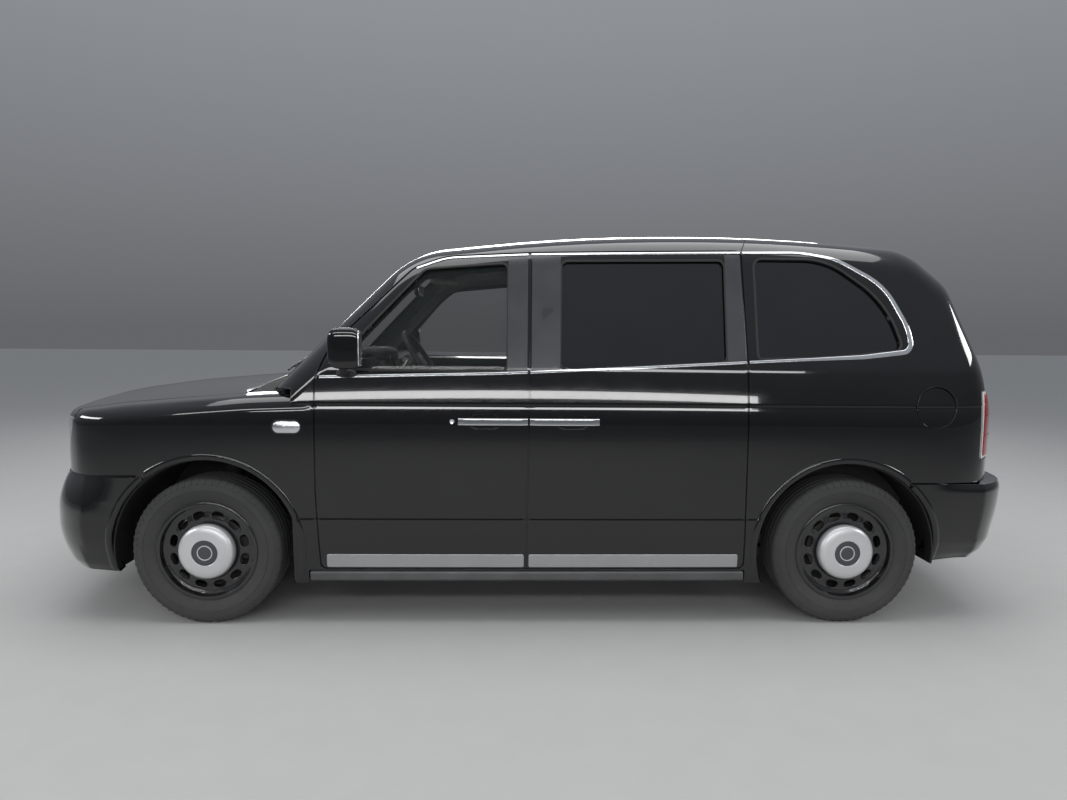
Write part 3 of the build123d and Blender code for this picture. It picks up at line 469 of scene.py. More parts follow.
@dataclass(frozen=True)
class EndPatch:
    """Map of one end: across the body, and up over its top edge."""

    x: float
    z: float
    sign: float
    swing: float = 420.0

    def rays(self, uv: np.ndarray) -> tuple[np.ndarray, np.ndarray]:
        """Return the origins and directions for map points."""
        u, v = uv.T
        up = np.clip((v - self.z) / self.swing, 0, None)
        origin = np.stack([np.full_like(u, self.x), u, np.minimum(v, self.z)], 1)
        way = np.stack([self.sign * np.cos(up), np.zeros_like(u), np.sin(up)], 1)
        return origin, way

    def locate(self, p: np.ndarray) -> np.ndarray:
        """Return the map points of (N, 3) places."""
        x, y, z = p.T
        up = np.arctan2(np.maximum(z - self.z, 0), self.sign * (x - self.x))
        return np.stack([y, np.minimum(z, self.z) + up * self.swing], 1)


@dataclass(frozen=True)
class WrapPatch:
    """Map that goes right round one end, from side to side, at plain heights."""

    x: float
    sign: float
    swing: float = 700.0

    def rays(self, uv: np.ndarray) -> tuple[np.ndarray, np.ndarray]:
        """Return the origins and directions for map points."""
        u, v = uv.T
        origin = np.stack([np.full_like(u, self.x), np.zeros_like(u), v], 1)
        way = np.stack([self.sign * np.cos(u / self.swing), np.sin(u / self.swing), np.zeros_like(u)], 1)
        return origin, way

    def locate(self, p: np.ndarray) -> np.ndarray:
        """Return the map points of (N, 3) places."""
        x, y, z = p.T
        return np.stack([np.arctan2(y, self.sign * (x - self.x)) * self.swing, z], 1)


@dataclass(frozen=True)
class TopPatch:
    """Map of a top panel: seen straight down."""

    z: float

    def rays(self, uv: np.ndarray) -> tuple[np.ndarray, np.ndarray]:
        """Return the origins and directions for map points."""
        origin = np.column_stack([uv, np.full(len(uv), self.z)])
        return origin, np.tile([0.0, 0.0, 1.0], (len(uv), 1))

    def locate(self, p: np.ndarray) -> np.ndarray:
        """Return the map points of (N, 3) places."""
        return p[:, :2].copy()


Patch = SidePatch | EndPatch | WrapPatch | TopPatch


def within(spots: np.ndarray, extent: Span) -> np.ndarray:
    """Return which (N, 2) map points lie inside an extent."""
    u, v = spots.T
    return (u > extent[0]) & (u < extent[1]) & (v > extent[2]) & (v < extent[3])


@dataclass
class Skin:
    """Triangulated piece of a form, trimmed by outlines."""

    points: np.ndarray
    normals: np.ndarray
    faces: np.ndarray

    @staticmethod
    def grid(patch: Patch, extent: Span, step: float, dense: Sequence[Sequence[float]]) -> np.ndarray:
        """Return the map points inside a skin, closer along the pressed lines and in dense places."""
        u_low, u_high, v_low, v_high = extent
        columns = np.linspace(u_low, u_high, max(2, round((u_high - u_low) / step)) + 1)
        lines = np.linspace(v_low, v_high, max(2, round((v_high - v_low) / step)) + 1)
        if isinstance(patch, SidePatch) and step > 10:
            fine = np.add.outer([SHOULDER_LINE, SILL_LINE], [-20, -12, -6, -1, 4, 9, 18]).ravel()
            lines = np.unique(np.concatenate([lines, fine[(fine > v_low) & (fine < v_high)]]))
        grid = np.stack(np.meshgrid(columns, lines, indexing="ij"), -1).reshape(-1, 2)
        for u0, u1, v0, v1, small in dense:
            outside = (grid[:, 0] < u0) | (grid[:, 0] > u1) | (grid[:, 1] < v0) | (grid[:, 1] > v1)
            ticks = np.meshgrid(np.arange(u0, u1, small), np.arange(v0, v1, small), indexing="ij")
            grid = np.concatenate([grid[outside], np.stack(ticks, -1).reshape(-1, 2)])
        return grid

    @staticmethod
    def edges(form: Field, patch: Patch, extent: Span, cuts: Sequence[Cut]) -> tuple[list[np.ndarray], list]:
        """Return the map points along every cut, and the pairs of them that are joined."""
        spots_of_cuts: list[np.ndarray] = []
        joined: list[tuple[int, int]] = []
        total = 0
        for cut in cuts:
            curve, good = cut.curve(form)
            if not good.any():
                continue
            spots = patch.locate(curve)
            good &= within(spots, extent)
            number = np.full(len(spots), -1)
            number[good] = np.arange(good.sum()) + total
            for index, following in enumerate(np.roll(np.arange(len(spots)), -1)):
                close = np.linalg.norm(spots[index] - spots[following]) < LONGEST_EDGE
                if good[index] and good[following] and close:
                    joined.append((int(number[index]), int(number[following])))
            spots_of_cuts.append(spots[good])
            total += int(good.sum())
        return (spots_of_cuts if total else []), joined

    @classmethod
    def lay(
        cls,
        form: Field,
        patch: Patch,
        extent: Span,
        cuts: Sequence[Cut],
        step: float = 24.0,
        extra: Field | None = None,
        dense: Sequence[Sequence[float]] = (),
    ) -> "Skin":
        """Mesh a form inside an extent of a patch, with every cut as a clean edge.

        Args:
            form: Signed distance whose zero is the skin.
            patch: Map between the flat mesh and the form.
            extent: Lowest and highest u, then v, of the map.
            cuts: Outlines that trim the skin.
            step: Mesh size.
            extra: Further test that says which places are kept.
            dense: Places (u low, u high, v low, v high, step) with a finer mesh.
        """
        spots = cls.grid(patch, extent, step, dense)
        rims, edges = cls.edges(form, patch, extent, cuts)
        if rims:
            rim = np.concatenate(rims)
            free = np.ones(len(spots), bool)
            for start in range(0, len(rim), RIM_CHUNK):
                gap = np.linalg.norm(spots[:, None] - rim[None, start : start + RIM_CHUNK], axis=2)
                free &= gap.min(1) > RIM_CLEARANCE * step
            u, v = spots.T
            on_border = (u == extent[0]) | (u == extent[1]) | (v == extent[2]) | (v == extent[3])
            spots = np.concatenate([rim, spots[free | on_border]])
        result = delaunay_2d_cdt([Vector(p) for p in spots.tolist()], edges, [], 0, 1e-3)
        flat = np.array([tuple(p) for p in result[0]])
        faces = np.array(result[2], int)
        points, good = cast(form, *patch.rays(flat))
        centre = points[faces].mean(1)
        keep = good[faces].all(1)
        for cut in cuts:
            keep &= cut.allows(centre)
        if extra is not None:
            keep &= extra(centre)
        faces = faces[keep]
        used = np.unique(faces)
        number = np.full(len(points), -1)
        number[used] = np.arange(len(used))
        points, faces = points[used], number[faces]
        normals = slope(form, points)
        cross = np.cross(points[faces[:, 1]] - points[faces[:, 0]], points[faces[:, 2]] - points[faces[:, 0]])
        wrong = np.einsum("ij,ij->i", cross, normals[faces[:, 0]]) < 0
        faces[wrong] = faces[wrong][:, ::-1]
        return cls(points, normals, faces)

    def rim(self) -> tuple[np.ndarray, np.ndarray, np.ndarray]:
        """Return boundary edges, boundary vertices and their outward directions."""
        directed = np.concatenate([self.faces[:, [0, 1]], self.faces[:, [1, 2]], self.faces[:, [2, 0]]])
        size = len(self.points) + 1
        codes = directed[:, 0] * size + directed[:, 1]
        reverse = directed[:, 1] * size + directed[:, 0]
        border = directed[~np.isin(codes, reverse)]
        tangent = self.points[border[:, 1]] - self.points[border[:, 0]]
        tangent /= np.linalg.norm(tangent, axis=1)[:, None] + 1e-9
        away = np.zeros_like(self.points)
        for side in (0, 1):
            np.add.at(away, border[:, side], np.cross(tangent, self.normals[border[:, side]]))
        verts = np.unique(border)
        out = away[verts]
        length = np.linalg.norm(out, axis=1)[:, None]
        out = out / np.maximum(length, 1e-6)
        return border, verts, out * np.minimum(2 / np.maximum(length, 0.8), 1.6)

    def shell(self, top: float, bottom: float, edge: float) -> "Solid":
        """Give the skin a thickness and a rolled edge.

        Args:
            top: Depth of the outer face below the form.
            bottom: Depth of the inner face below the form.
            edge: Radius of the rolled edge.
        """
        border, verts, out = self.rim()
        place = np.full(len(self.points), -1)
        place[verts] = np.arange(len(verts))
        ends = place[border]
        outward = out / np.linalg.norm(out, axis=1)[:, None]
        total = len(self.points)
        layers, faces, loops = [self.points - self.normals * top], [self.faces], [self.normals[self.faces]]

        def band(lower: np.ndarray, upper: np.ndarray, near: np.ndarray, far: np.ndarray) -> None:
            """Add the quads between two rows of points, with the normals along both."""
            faces.append(np.column_stack([lower[:, 1], lower[:, 0], upper[:, 0], upper[:, 1]]))
            loops.append(np.stack([near[:, 1], near[:, 0], far[:, 0], far[:, 1]], 1))

        lower, near = border, self.normals[verts][ends]
        for angle in ROLL_ANGLES:
            turn = math.radians(angle)
            drop = top + edge * (1 - math.cos(turn))
            layers.append(self.points[verts] + out * edge * math.sin(turn) - self.normals[verts] * drop)
            upper = ends + total
            far = (self.normals[verts] * math.cos(turn) + outward * math.sin(turn))[ends]
            band(lower, upper, near, far)
            lower, near = upper, far
            total += len(verts)
        inner = self.points - self.normals * bottom
        inner[verts] += out * edge
        layers.append(inner)
        wall = outward[ends]
        band(lower, border + total, wall, wall)
        back = self.faces[:, ::-1]
        slots = [np.zeros(len(group), int) for group in faces] + [np.ones(len(back), int)]
        faces.append(back + total)
        loops.append(-self.normals[back])
        return Solid(np.concatenate(layers), faces, loops, slots)


@dataclass
class Solid:
    """Faces of a finished piece in millimetres, with their corner normals and material numbers."""

    points: np.ndarray
    faces: list[np.ndarray]
    loops: list[np.ndarray] = field(default_factory=list)
    slots: list[np.ndarray] = field(default_factory=list)

    @classmethod
    def of(cls, points: np.ndarray, *groups: np.ndarray) -> "Solid":
        """Return a piece whose faces all have the first material."""
        return cls(points, list(groups), [], [np.zeros(len(group), int) for group in groups])

    def mirrored(self) -> "Solid":
        """Return the right-hand copy."""
        flip = np.array([1.0, -1.0, 1.0])
        turned = [n[:, ::-1] * flip for n in self.loops]
        return Solid(self.points * flip, [f[:, ::-1] for f in self.faces], turned, self.slots)

    def moved(self, offset: Sequence[float]) -> "Solid":
        """Return the piece moved, with its corner normals left to the mesh."""
        return Solid(self.points + np.array(offset, float), self.faces, [], self.slots)

    def reordered(self, *axes: int) -> "Solid":
        """Return the piece with two of its axes exchanged."""
        return Solid(self.points[:, list(axes)], [f[:, ::-1] for f in self.faces], [], self.slots)

    def painted(self, outer: int, inner: int | None = None) -> "Solid":
        """Return the piece with its outer and inner faces in other material slots."""
        inner = outer if inner is None else inner
        return Solid(self.points, self.faces, self.loops, [np.where(s == 1, inner, outer) for s in self.slots])

    def face_lists(self) -> list[list[int]]:
        """Return every face as a list of point numbers."""
        return [face for group in self.faces for face in group.tolist()]


def together(*solids: Solid) -> Solid:
    """Join several solids into one."""
    points, faces, loops, slots = [], [], [], []
    base = 0
    for solid in solids:
        points.append(solid.points)
        faces += [f + base for f in solid.faces]
        loops += solid.loops
        slots += solid.slots
        base += len(solid.points)
    return Solid(np.concatenate(points), faces, loops, slots)


# ---------------------------------------------------------------- materials
class Finish(Enum):
    """Finishes, named after the record's material slots where they have one."""

    PAINT = "black_paint"
    LINING = "cabin_lining"
    STEP = "step_metal"
    UNDERBODY = "underbody"
    CASTING = "battery_case"
    CHROME = "chrome_trim"
    SATIN = "window_frame"
    SILVER = "kick_plate"
    CLEAR = "clear_glass"
    TINT = "dark_glass"
    LENS = "lamp_clear"
    RED_LENS = "lamp_red"
    REFLECTOR = "lamp_reflector"
    PLASTIC = "cabin_plastic"
    VINYL = "seat_fabric"
    WHEEL = "wheel_steel"
    CAP = "wheel_cap"
    MEDALLION = "cap_medallion"
    TYRE = "tyre_rubber"
    RUBBER = "seal_rubber"
    PALE_TRIM = "pale_trim"
    PLATE = "blank_plate"
    FABRIC = "seat_cloth"
    RAIL = "grab_rail"
    BRAKE = "brake_disc"
    FLOOR = "stage_floor"


@dataclass(frozen=True)
class Recipe:
    """Numbers behind one finish.

    Attributes:
        colour: Base colour, linear.
        rough: Mean roughness.
        metal: Metallic share.
        coat: Clear coat weight.
        grain: Size of the surface's fine grain in metres.
        relief: Depth of that grain in metres.
        dust: Share of pale dust low down on the body.
        alpha: Opacity.
        glow: Strength of its own light.
        wear: How much smears and rubbing change the roughness.
        mottle: How much the colour drifts over the surface.
    """

    colour: tuple[float, float, float]
    rough: float
    metal: float = 0.0
    coat: float = 0.0
    grain: float = 0.002
    relief: float = 0.0
    dust: float = 0.0
    alpha: float = 1.0
    glow: float = 0.0
    wear: float = 0.10
    mottle: float = 0.35


RECIPES: dict[Finish, Recipe] = {
    Finish.PAINT: Recipe((0.0025, 0.0025, 0.003), 0.07, coat=1.0, grain=0.0012, relief=1e-5, dust=0.02, wear=0.04),
    Finish.LINING: Recipe((0.20, 0.195, 0.185), 0.78, grain=0.0016, relief=0.0002),
    Finish.STEP: Recipe((0.10, 0.102, 0.106), 0.40, metal=0.6, grain=0.002, relief=6e-5, dust=0.22, wear=0.06),
    Finish.UNDERBODY: Recipe((0.018, 0.017, 0.016), 0.74, grain=0.005, relief=0.0004, dust=0.25),
    Finish.CASTING: Recipe((0.34, 0.35, 0.36), 0.48, metal=0.8, grain=0.003, relief=0.0003, dust=0.25),
    Finish.CHROME: Recipe((0.78, 0.79, 0.80), 0.07, metal=1.0, grain=0.004, relief=1e-5, wear=0.03, mottle=0.02),
    Finish.SATIN: Recipe((0.030, 0.031, 0.034), 0.34, coat=0.3, grain=0.001, relief=2e-5, wear=0.05),
    Finish.SILVER: Recipe(
        (0.46, 0.465, 0.475), 0.22, metal=1.0, grain=0.0008, relief=2e-5, dust=0.05, wear=0.05, mottle=0.06
    ),
    Finish.CLEAR: Recipe((0.020, 0.026, 0.023), 0.02, coat=0.5, alpha=0.20, wear=0.02),
    Finish.TINT: Recipe((0.004, 0.004, 0.005), 0.03, coat=0.6, alpha=0.94, wear=0.02),
    Finish.LENS: Recipe((0.10, 0.11, 0.12), 0.02, coat=0.8, alpha=0.16, wear=0.02),
    Finish.RED_LENS: Recipe((0.24, 0.004, 0.008), 0.08, coat=1.0, grain=0.006, relief=0.0001, glow=0.03, wear=0.04),
    Finish.REFLECTOR: Recipe((0.70, 0.71, 0.73), 0.16, metal=1.0, grain=0.006, relief=0.0006, mottle=0.05),
    Finish.PLASTIC: Recipe((0.016, 0.016, 0.018), 0.55, grain=0.0011, relief=0.00018),
    Finish.VINYL: Recipe((0.026, 0.026, 0.030), 0.46, grain=0.0014, relief=0.00022, wear=0.14),
    Finish.FABRIC: Recipe((0.050, 0.052, 0.060), 0.86, grain=0.0016, relief=0.0003),
    Finish.WHEEL: Recipe((0.006, 0.006, 0.007), 0.22, coat=0.7, grain=0.0015, relief=3e-5, dust=0.04, wear=0.06),
    Finish.CAP: Recipe(
        (0.66, 0.665, 0.67), 0.36, metal=0.55, grain=0.001, relief=2e-5, dust=0.05, wear=0.05, mottle=0.05
    ),
    Finish.MEDALLION: Recipe((0.075, 0.078, 0.085), 0.36, metal=0.4, grain=0.001, relief=4e-5, mottle=0.1),
    Finish.TYRE: Recipe((0.030, 0.030, 0.030), 0.76, grain=0.003, relief=0.0003, dust=0.20),
    Finish.RUBBER: Recipe((0.008, 0.008, 0.008), 0.62, grain=0.001, relief=8e-5),
    Finish.PALE_TRIM: Recipe((0.36, 0.34, 0.31), 0.62, grain=0.0014, relief=0.00016),
    Finish.PLATE: Recipe((0.62, 0.62, 0.60), 0.34, coat=0.3, grain=0.002, relief=3e-5, mottle=0.04),
    Finish.RAIL: Recipe((0.62, 0.40, 0.02), 0.30, coat=0.5, grain=0.002, relief=4e-5, mottle=0.08),
    Finish.BRAKE: Recipe((0.26, 0.25, 0.24), 0.44, metal=0.9, grain=0.002, relief=6e-5, dust=0.2),
    Finish.FLOOR: Recipe((0.42, 0.417, 0.407), 0.70, grain=0.004, relief=0.0001, wear=0.04, mottle=0.025),
}


class Sock:
    """Shader value that can be written as ordinary arithmetic."""

    def __init__(self, tree: bpy.types.NodeTree, socket: bpy.types.NodeSocket) -> None:
        self.tree, self.socket = tree, socket

    def _math(self, kind: str, *others: "Sock | float") -> "Sock":
        """Add one maths node with this value as its first input."""
        node = self.tree.nodes.new("ShaderNodeMath")
        node.operation = kind
        self.tree.links.new(self.socket, node.inputs[0])
        for index, other in enumerate(others, 1):
            if isinstance(other, Sock):
                self.tree.links.new(other.socket, node.inputs[index])
            else:
                node.inputs[index].default_value = other
        return Sock(self.tree, node.outputs[0])

    def __add__(self, other: "Sock | float") -> "Sock":
        return self._math("ADD", other)

    def __sub__(self, other: "Sock | float") -> "Sock":
        return self._math("SUBTRACT", other)

    def __mul__(self, other: "Sock | float") -> "Sock":
        return self._math("MULTIPLY", other)

    def __truediv__(self, other: "Sock | float") -> "Sock":
        return self._math("DIVIDE", other)

    def clamp(self) -> "Sock":
        """Limit the value to the range 0 to 1."""
        return self._math("MINIMUM", 1.0)._math("MAXIMUM", 0.0)

    def ramp(self, low: float, high: float) -> "Sock":
        """Rescale so that low becomes 0 and high becomes 1, and limit it."""
        return ((self - low) / (high - low)).clamp()

    def wave(self) -> "Sock":
        """Return the sine of the value."""
        return self._math("SINE")


class Shader:
    """Builds one procedural material."""

    def __init__(self, name: str) -> None:
        self.material = bpy.data.materials.new(name)
        self.material.use_nodes = True
        self.tree = self.material.node_tree
        self.tree.nodes.clear()
        self.output = self.node("ShaderNodeOutputMaterial")
        self.place = self.node("ShaderNodeTexCoord").outputs["Object"]

    def node(self, kind: str, **values: object) -> bpy.types.Node:
        """Add a node; attributes are set by name and inputs by Input_Name."""
        node = self.tree.nodes.new(kind)
        for key, value in values.items():
            if key in node.inputs:
                self.feed(node.inputs[key], value)
            elif key.replace("_", " ") in node.inputs:
                self.feed(node.inputs[key.replace("_", " ")], value)
            else:
                setattr(node, key, value)
        return node

    def feed(self, target: bpy.types.NodeSocket, value: object) -> None:
        """Link or set one input."""
        if isinstance(value, Sock):
            self.tree.links.new(value.socket, target)
        elif isinstance(value, bpy.types.NodeSocket):
            self.tree.links.new(value, target)
        else:
            target.default_value = value

    def noise(self, size: float, detail: float = 3.0, place: bpy.types.NodeSocket | None = None) -> Sock:
        """Return fractal noise whose grains are about size metres."""
        node = self.node("ShaderNodeTexNoise", Scale=1.0 / size, Detail=detail, Vector=place or self.place)
        return Sock(self.tree, node.outputs[0])

    def cells(self, size: float) -> Sock:
        """Return distance to the nearest cell centre of a random cell pattern."""
        node = self.node("ShaderNodeTexVoronoi", Scale=1.0 / size, Vector=self.place)
        return Sock(self.tree, node.outputs["Distance"])

    def axes(self) -> tuple[Sock, Sock, Sock]:
        """Return the place along x, y and z in metres."""
        node = self.node("ShaderNodeSeparateXYZ", Vector=self.place)
        return tuple(Sock(self.tree, node.outputs[i]) for i in range(3))

    def stretched(self, x: float, y: float, z: float) -> bpy.types.NodeSocket:
        """Return the place with each axis scaled."""
        return self.node("ShaderNodeMapping", Vector=self.place, Scale=(x, y, z)).outputs[0]

    def mixed(self, share: Sock, *colours: Sequence[float] | bpy.types.NodeSocket) -> bpy.types.NodeSocket:
        """Return a colour between two, by share."""
        node = self.node("ShaderNodeMix", data_type="RGBA")
        self.feed(node.inputs[0], share)
        for target, colour in zip((node.inputs[6], node.inputs[7]), colours):
            self.feed(target, colour if isinstance(colour, bpy.types.NodeSocket) else (*colour, 1.0))
        return node.outputs[2]

    def bump(self, height: Sock, depth: float) -> bpy.types.NodeSocket:
        """Return normals disturbed by a height field."""
        node = self.node("ShaderNodeBump", Strength=1.0, Distance=depth, Height=height)
        return node.outputs[0]

    def close(self, shader: bpy.types.Node) -> bpy.types.Material:
        """Join the shader to the output."""
        self.tree.links.new(shader.outputs[0], self.output.inputs["Surface"])
        return self.material


DUST = (0.17, 0.163, 0.15)
DUST_TOP = 0.62
DUST_DEPTH = 0.55
DUST_GRAIN = 0.035
BROAD_GRAIN = 0.16
SMEAR_GRAIN = 0.05
THREAD_PITCH = 0.0032
COAT_ROUGHNESS = 0.02
COATED_SPECULAR = 0.2


def build_finish(finish: Finish) -> bpy.types.Material:
    """Make the material of one finish from its recipe."""
    recipe = RECIPES[finish]
    shader = Shader(finish.value)
    _, _, z = shader.axes()
    fine = shader.noise(recipe.grain, 4.0)
    broad = shader.noise(BROAD_GRAIN, 2.0)
    smear = shader.noise(SMEAR_GRAIN, 3.0)
    if finish in (Finish.SILVER, Finish.STEP, Finish.CHROME):
        fine = shader.noise(recipe.grain, 3.0, shader.stretched(0.05, 1.0, 1.0))
    if finish in (Finish.VINYL, Finish.PLASTIC, Finish.PALE_TRIM, Finish.LINING):
        fine = shader.cells(recipe.grain * 1.4) + fine * 0.4
    if finish is Finish.FABRIC:
        x, y, up = shader.axes()
        threads = math.tau / THREAD_PITCH
        fine = (x * threads).wave() * (y * threads).wave() + (up * threads).wave() + fine * 0.6
    tone = tuple(min(1.0, c * (1 + recipe.mottle)) for c in recipe.colour)
    colour = shader.mixed(broad.ramp(0.35, 0.7), recipe.colour, tone)
    smears = smear.ramp(0.4, 0.85) * recipe.wear
    rough = (broad * recipe.wear + smears + (recipe.rough - recipe.wear * 0.5)).clamp()
    if recipe.dust:
        patches = (shader.noise(DUST_GRAIN, 5.0) * 0.9 + 0.3).clamp()
        low = (z * -1.0 + DUST_TOP).ramp(0.0, DUST_DEPTH) * patches
        share = (low * recipe.dust + smear.ramp(0.52, 0.9) * recipe.dust * 0.3).clamp()
        colour = shader.mixed(share, colour, DUST)
        rough = (rough + share * 0.6).clamp()
    values = {"Base_Color": colour, "Roughness": rough, "Metallic": recipe.metal}
    values |= {"Coat_Weight": recipe.coat, "Coat_Roughness": COAT_ROUGHNESS}
    if recipe.coat >= 1.0:
        values["Specular_IOR_Level"] = COATED_SPECULAR
    if recipe.relief:
        values["Normal"] = shader.bump(fine, recipe.relief)
    if recipe.glow:
        values |= {"Emission_Color": (*recipe.colour, 1.0), "Emission_Strength": recipe.glow}
    if recipe.alpha < 1.0:
        values["Alpha"] = recipe.alpha
    return shader.close(shader.node("ShaderNodeBsdfPrincipled", **values))


# ---------------------------------------------------------------- mesh tools
def linked(name: str, mesh: bpy.types.Mesh) -> bpy.types.Object:
    """Put a mesh into the scene as an object."""
    piece = bpy.data.objects.new(name, mesh)
    bpy.context.scene.collection.objects.link(piece)
    return piece


class Workshop:
    """Turns solids into finished pieces of the scene."""

    def __init__(self) -> None:
        self.materials: dict[Finish, bpy.types.Material] = {}
        self.count = 0

    def finish(self, finish: Finish) -> bpy.types.Material:
        """Return the material of a finish, made on first use."""
        if finish not in self.materials:
            self.materials[finish] = build_finish(finish)
        return self.materials[finish]

    def place(
        self,
        name: str,
        solid: Solid,
        finishes: Sequence[Finish],
        body: str = "root",
        stands_for: Sequence[str] = (),
    ) -> bpy.types.Object:
        """Make a piece from a solid.

        Args:
            name: Name of the piece.
            solid: Its faces in millimetres.
            finishes: Finish of each material number.
            body: CAD body that it rides on.
            stands_for: CAD nodes that it is shown in place of.
        """
        mesh = bpy.data.meshes.new(name)
        mesh.from_pydata((solid.points * MM).tolist(), [], solid.face_lists())
        for finish in finishes:
            mesh.materials.append(self.finish(finish))
        numbers = np.concatenate(solid.slots)
        mesh.polygons.foreach_set("material_index", numbers.astype(np.int32))
        mesh.polygons.foreach_set("use_smooth", np.ones(len(mesh.polygons), bool))
        if solid.loops:
            normals = np.concatenate([n.reshape(-1, 3) for n in solid.loops])
            mesh.normals_split_custom_set(normals.tolist())
        else:
            mesh.set_sharp_from_angle(angle=SHARP_ANGLE)
        piece = linked(name, mesh)
        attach(piece, body)
        if stands_for:
            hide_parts(*stands_for)
        self.count += 1
        LOG.info("%s: %d faces", name, len(mesh.polygons))
        return piece


def revolved(rows: Sequence[tuple[float, float]], centre: Sequence[float], parts: int = 96) -> Solid:
    """Turn an open or closed (along y, radius) outline about an axis parallel to Y."""
    profile = np.array(rows, float)
    angles = np.linspace(0, math.tau, parts, endpoint=False)
    points = np.empty((parts, len(profile), 3))
    points[:, :, 0] = np.sin(angles)[:, None] * profile[None, :, 1]
    points[:, :, 1] = profile[None, :, 0]
    points[:, :, 2] = np.cos(angles)[:, None] * profile[None, :, 1]
    points += np.array(centre)
    number = np.arange(parts * len(profile)).reshape(parts, len(profile))
    after = np.roll(number, -1, 0)
    quads = np.stack([number[:, :-1], number[:, 1:], after[:, 1:], after[:, :-1]], -1).reshape(-1, 4)
    return Solid.of(points.reshape(-1, 3), quads[:, ::-1])


def laced(here: np.ndarray, there: np.ndarray) -> np.ndarray:
    """Return the quads between rings of point numbers and the rings that follow them."""
    return np.stack([here, np.roll(here, -1, 1), np.roll(there, -1, 1), there], -1).reshape(-1, 4)


def swept(
    path: np.ndarray, normals: np.ndarray, section: np.ndarray, closed: bool, widths: np.ndarray | None = None
) -> Solid:
    """Sweep a section of (across, out) points along a path on a surface.

    Args:
        path: (N, 3) points.
        normals: Outward direction of the surface at each.
        section: Closed outline, anticlockwise when seen along the path.
        closed: Whether the path is a loop.
        widths: Share of the section's width at each point, if it changes.
    """
    share = np.ones(len(path)) if widths is None else widths
    if closed:
        ahead = np.roll(path, -1, 0) - np.roll(path, 1, 0)
    else:
        ahead = np.gradient(path, axis=0)
    ahead /= np.linalg.norm(ahead, axis=1)[:, None]
    across = np.cross(ahead, normals)
    across /= np.linalg.norm(across, axis=1)[:, None]
    up = np.cross(across, ahead)
    wide = section[None, :, :1] * share[:, None, None]
    rings = path[:, None] + across[:, None] * wide + up[:, None] * section[None, :, 1:]
    number = np.arange(len(path) * len(section)).reshape(len(path), len(section))
    if closed:
        return Solid.of(rings.reshape(-1, 3), laced(number, np.roll(number, -1, 0)))
    caps = np.array([number[0][::-1], number[-1]])
    return Solid.of(rings.reshape(-1, 3), laced(number[:-1], number[1:]), caps)


def bar_section(width: float, height: float, radius: float, base: float = 0.0) -> np.ndarray:
    """Return a rounded rectangular section that stands on a surface."""
    rows = rect(-width / 2, width / 2, base, base + height, min(radius, width / 2.1, height / 2.1))
    return rounded(rows, math.inf)


def boxed(x0: float, x1: float, y0: float, y1: float, z0: float, z1: float, edge: float = 4.0) -> Solid:
    """Return a box with chamfered and rounded edges."""
    cells = []
    for low, high in ((x0, x1), (y0, y1), (z0, z1)):
        r = min(edge, (high - low) / 2.01)
        cells.append(np.array([low, low + r * 0.29, low + r, high - r, high - r * 0.29, high]))
    centre = np.array([(x0 + x1) / 2, (y0 + y1) / 2, (z0 + z1) / 2])
    half = np.array([(x1 - x0) / 2, (y1 - y0) / 2, (z1 - z0) / 2])
    r = np.minimum(edge, half * 0.995)
    points, faces = [], []
    for axis in range(3):
        for sign in (-1, 1):
            a, b = (axis + 1) % 3, (axis + 2) % 3
            base = len(points)
            for i, j in np.ndindex(6, 6):
                p = np.empty(3)
                p[axis] = centre[axis] + sign * half[axis]
                p[a], p[b] = cells[a][i], cells[b][j]
                core = np.clip(p, centre - half + r, centre + half - r)
                gap = p - core
                length = np.linalg.norm(gap)
                points.append(core + gap / length * r if length > 1e-9 else p)
            for i, j in np.ndindex(5, 5):
                corner = base + i * 6 + j
                quad = [corner, corner + 6, corner + 7, corner + 1]
                faces.append(quad if sign > 0 else quad[::-1])
    return Solid.of(np.array(points), np.array(faces))


def outwards(solid: Solid) -> Solid:
    """Turn a closed piece's faces so that they point outwards."""
    volume = 0.0
    for group in solid.faces:
        first = solid.points[group[:, 0]]
        for k in range(1, group.shape[1] - 1):
            second, third = solid.points[group[:, k]], solid.points[group[:, k + 1]]
            volume += float(np.einsum("ij,ij->", first, np.cross(second, third)))
    return solid if volume > 0 else Solid(solid.points, [f[:, ::-1] for f in solid.faces], [], solid.slots)


def welded(solid: Solid) -> Solid:
    """Join coincident points so that the piece shades as one surface."""
    points, number = np.unique(np.round(solid.points, 3), axis=0, return_inverse=True)
    number = number.ravel()
    return Solid(points, [number[f] for f in solid.faces], [], solid.slots)


def placed(
    solid: Solid, origin: Sequence[float], across: Sequence[float], up: Sequence[float], out: Sequence[float]
) -> Solid:
    """Move a piece made about its own axes to where those axes point."""
    turn = np.array([across, up, out], float)
    turn /= np.linalg.norm(turn, axis=1)[:, None]
    faces = solid.faces if np.linalg.det(turn) > 0 else [f[:, ::-1] for f in solid.faces]
    return Solid(solid.points @ turn + np.array(origin, float), faces, [], solid.slots)


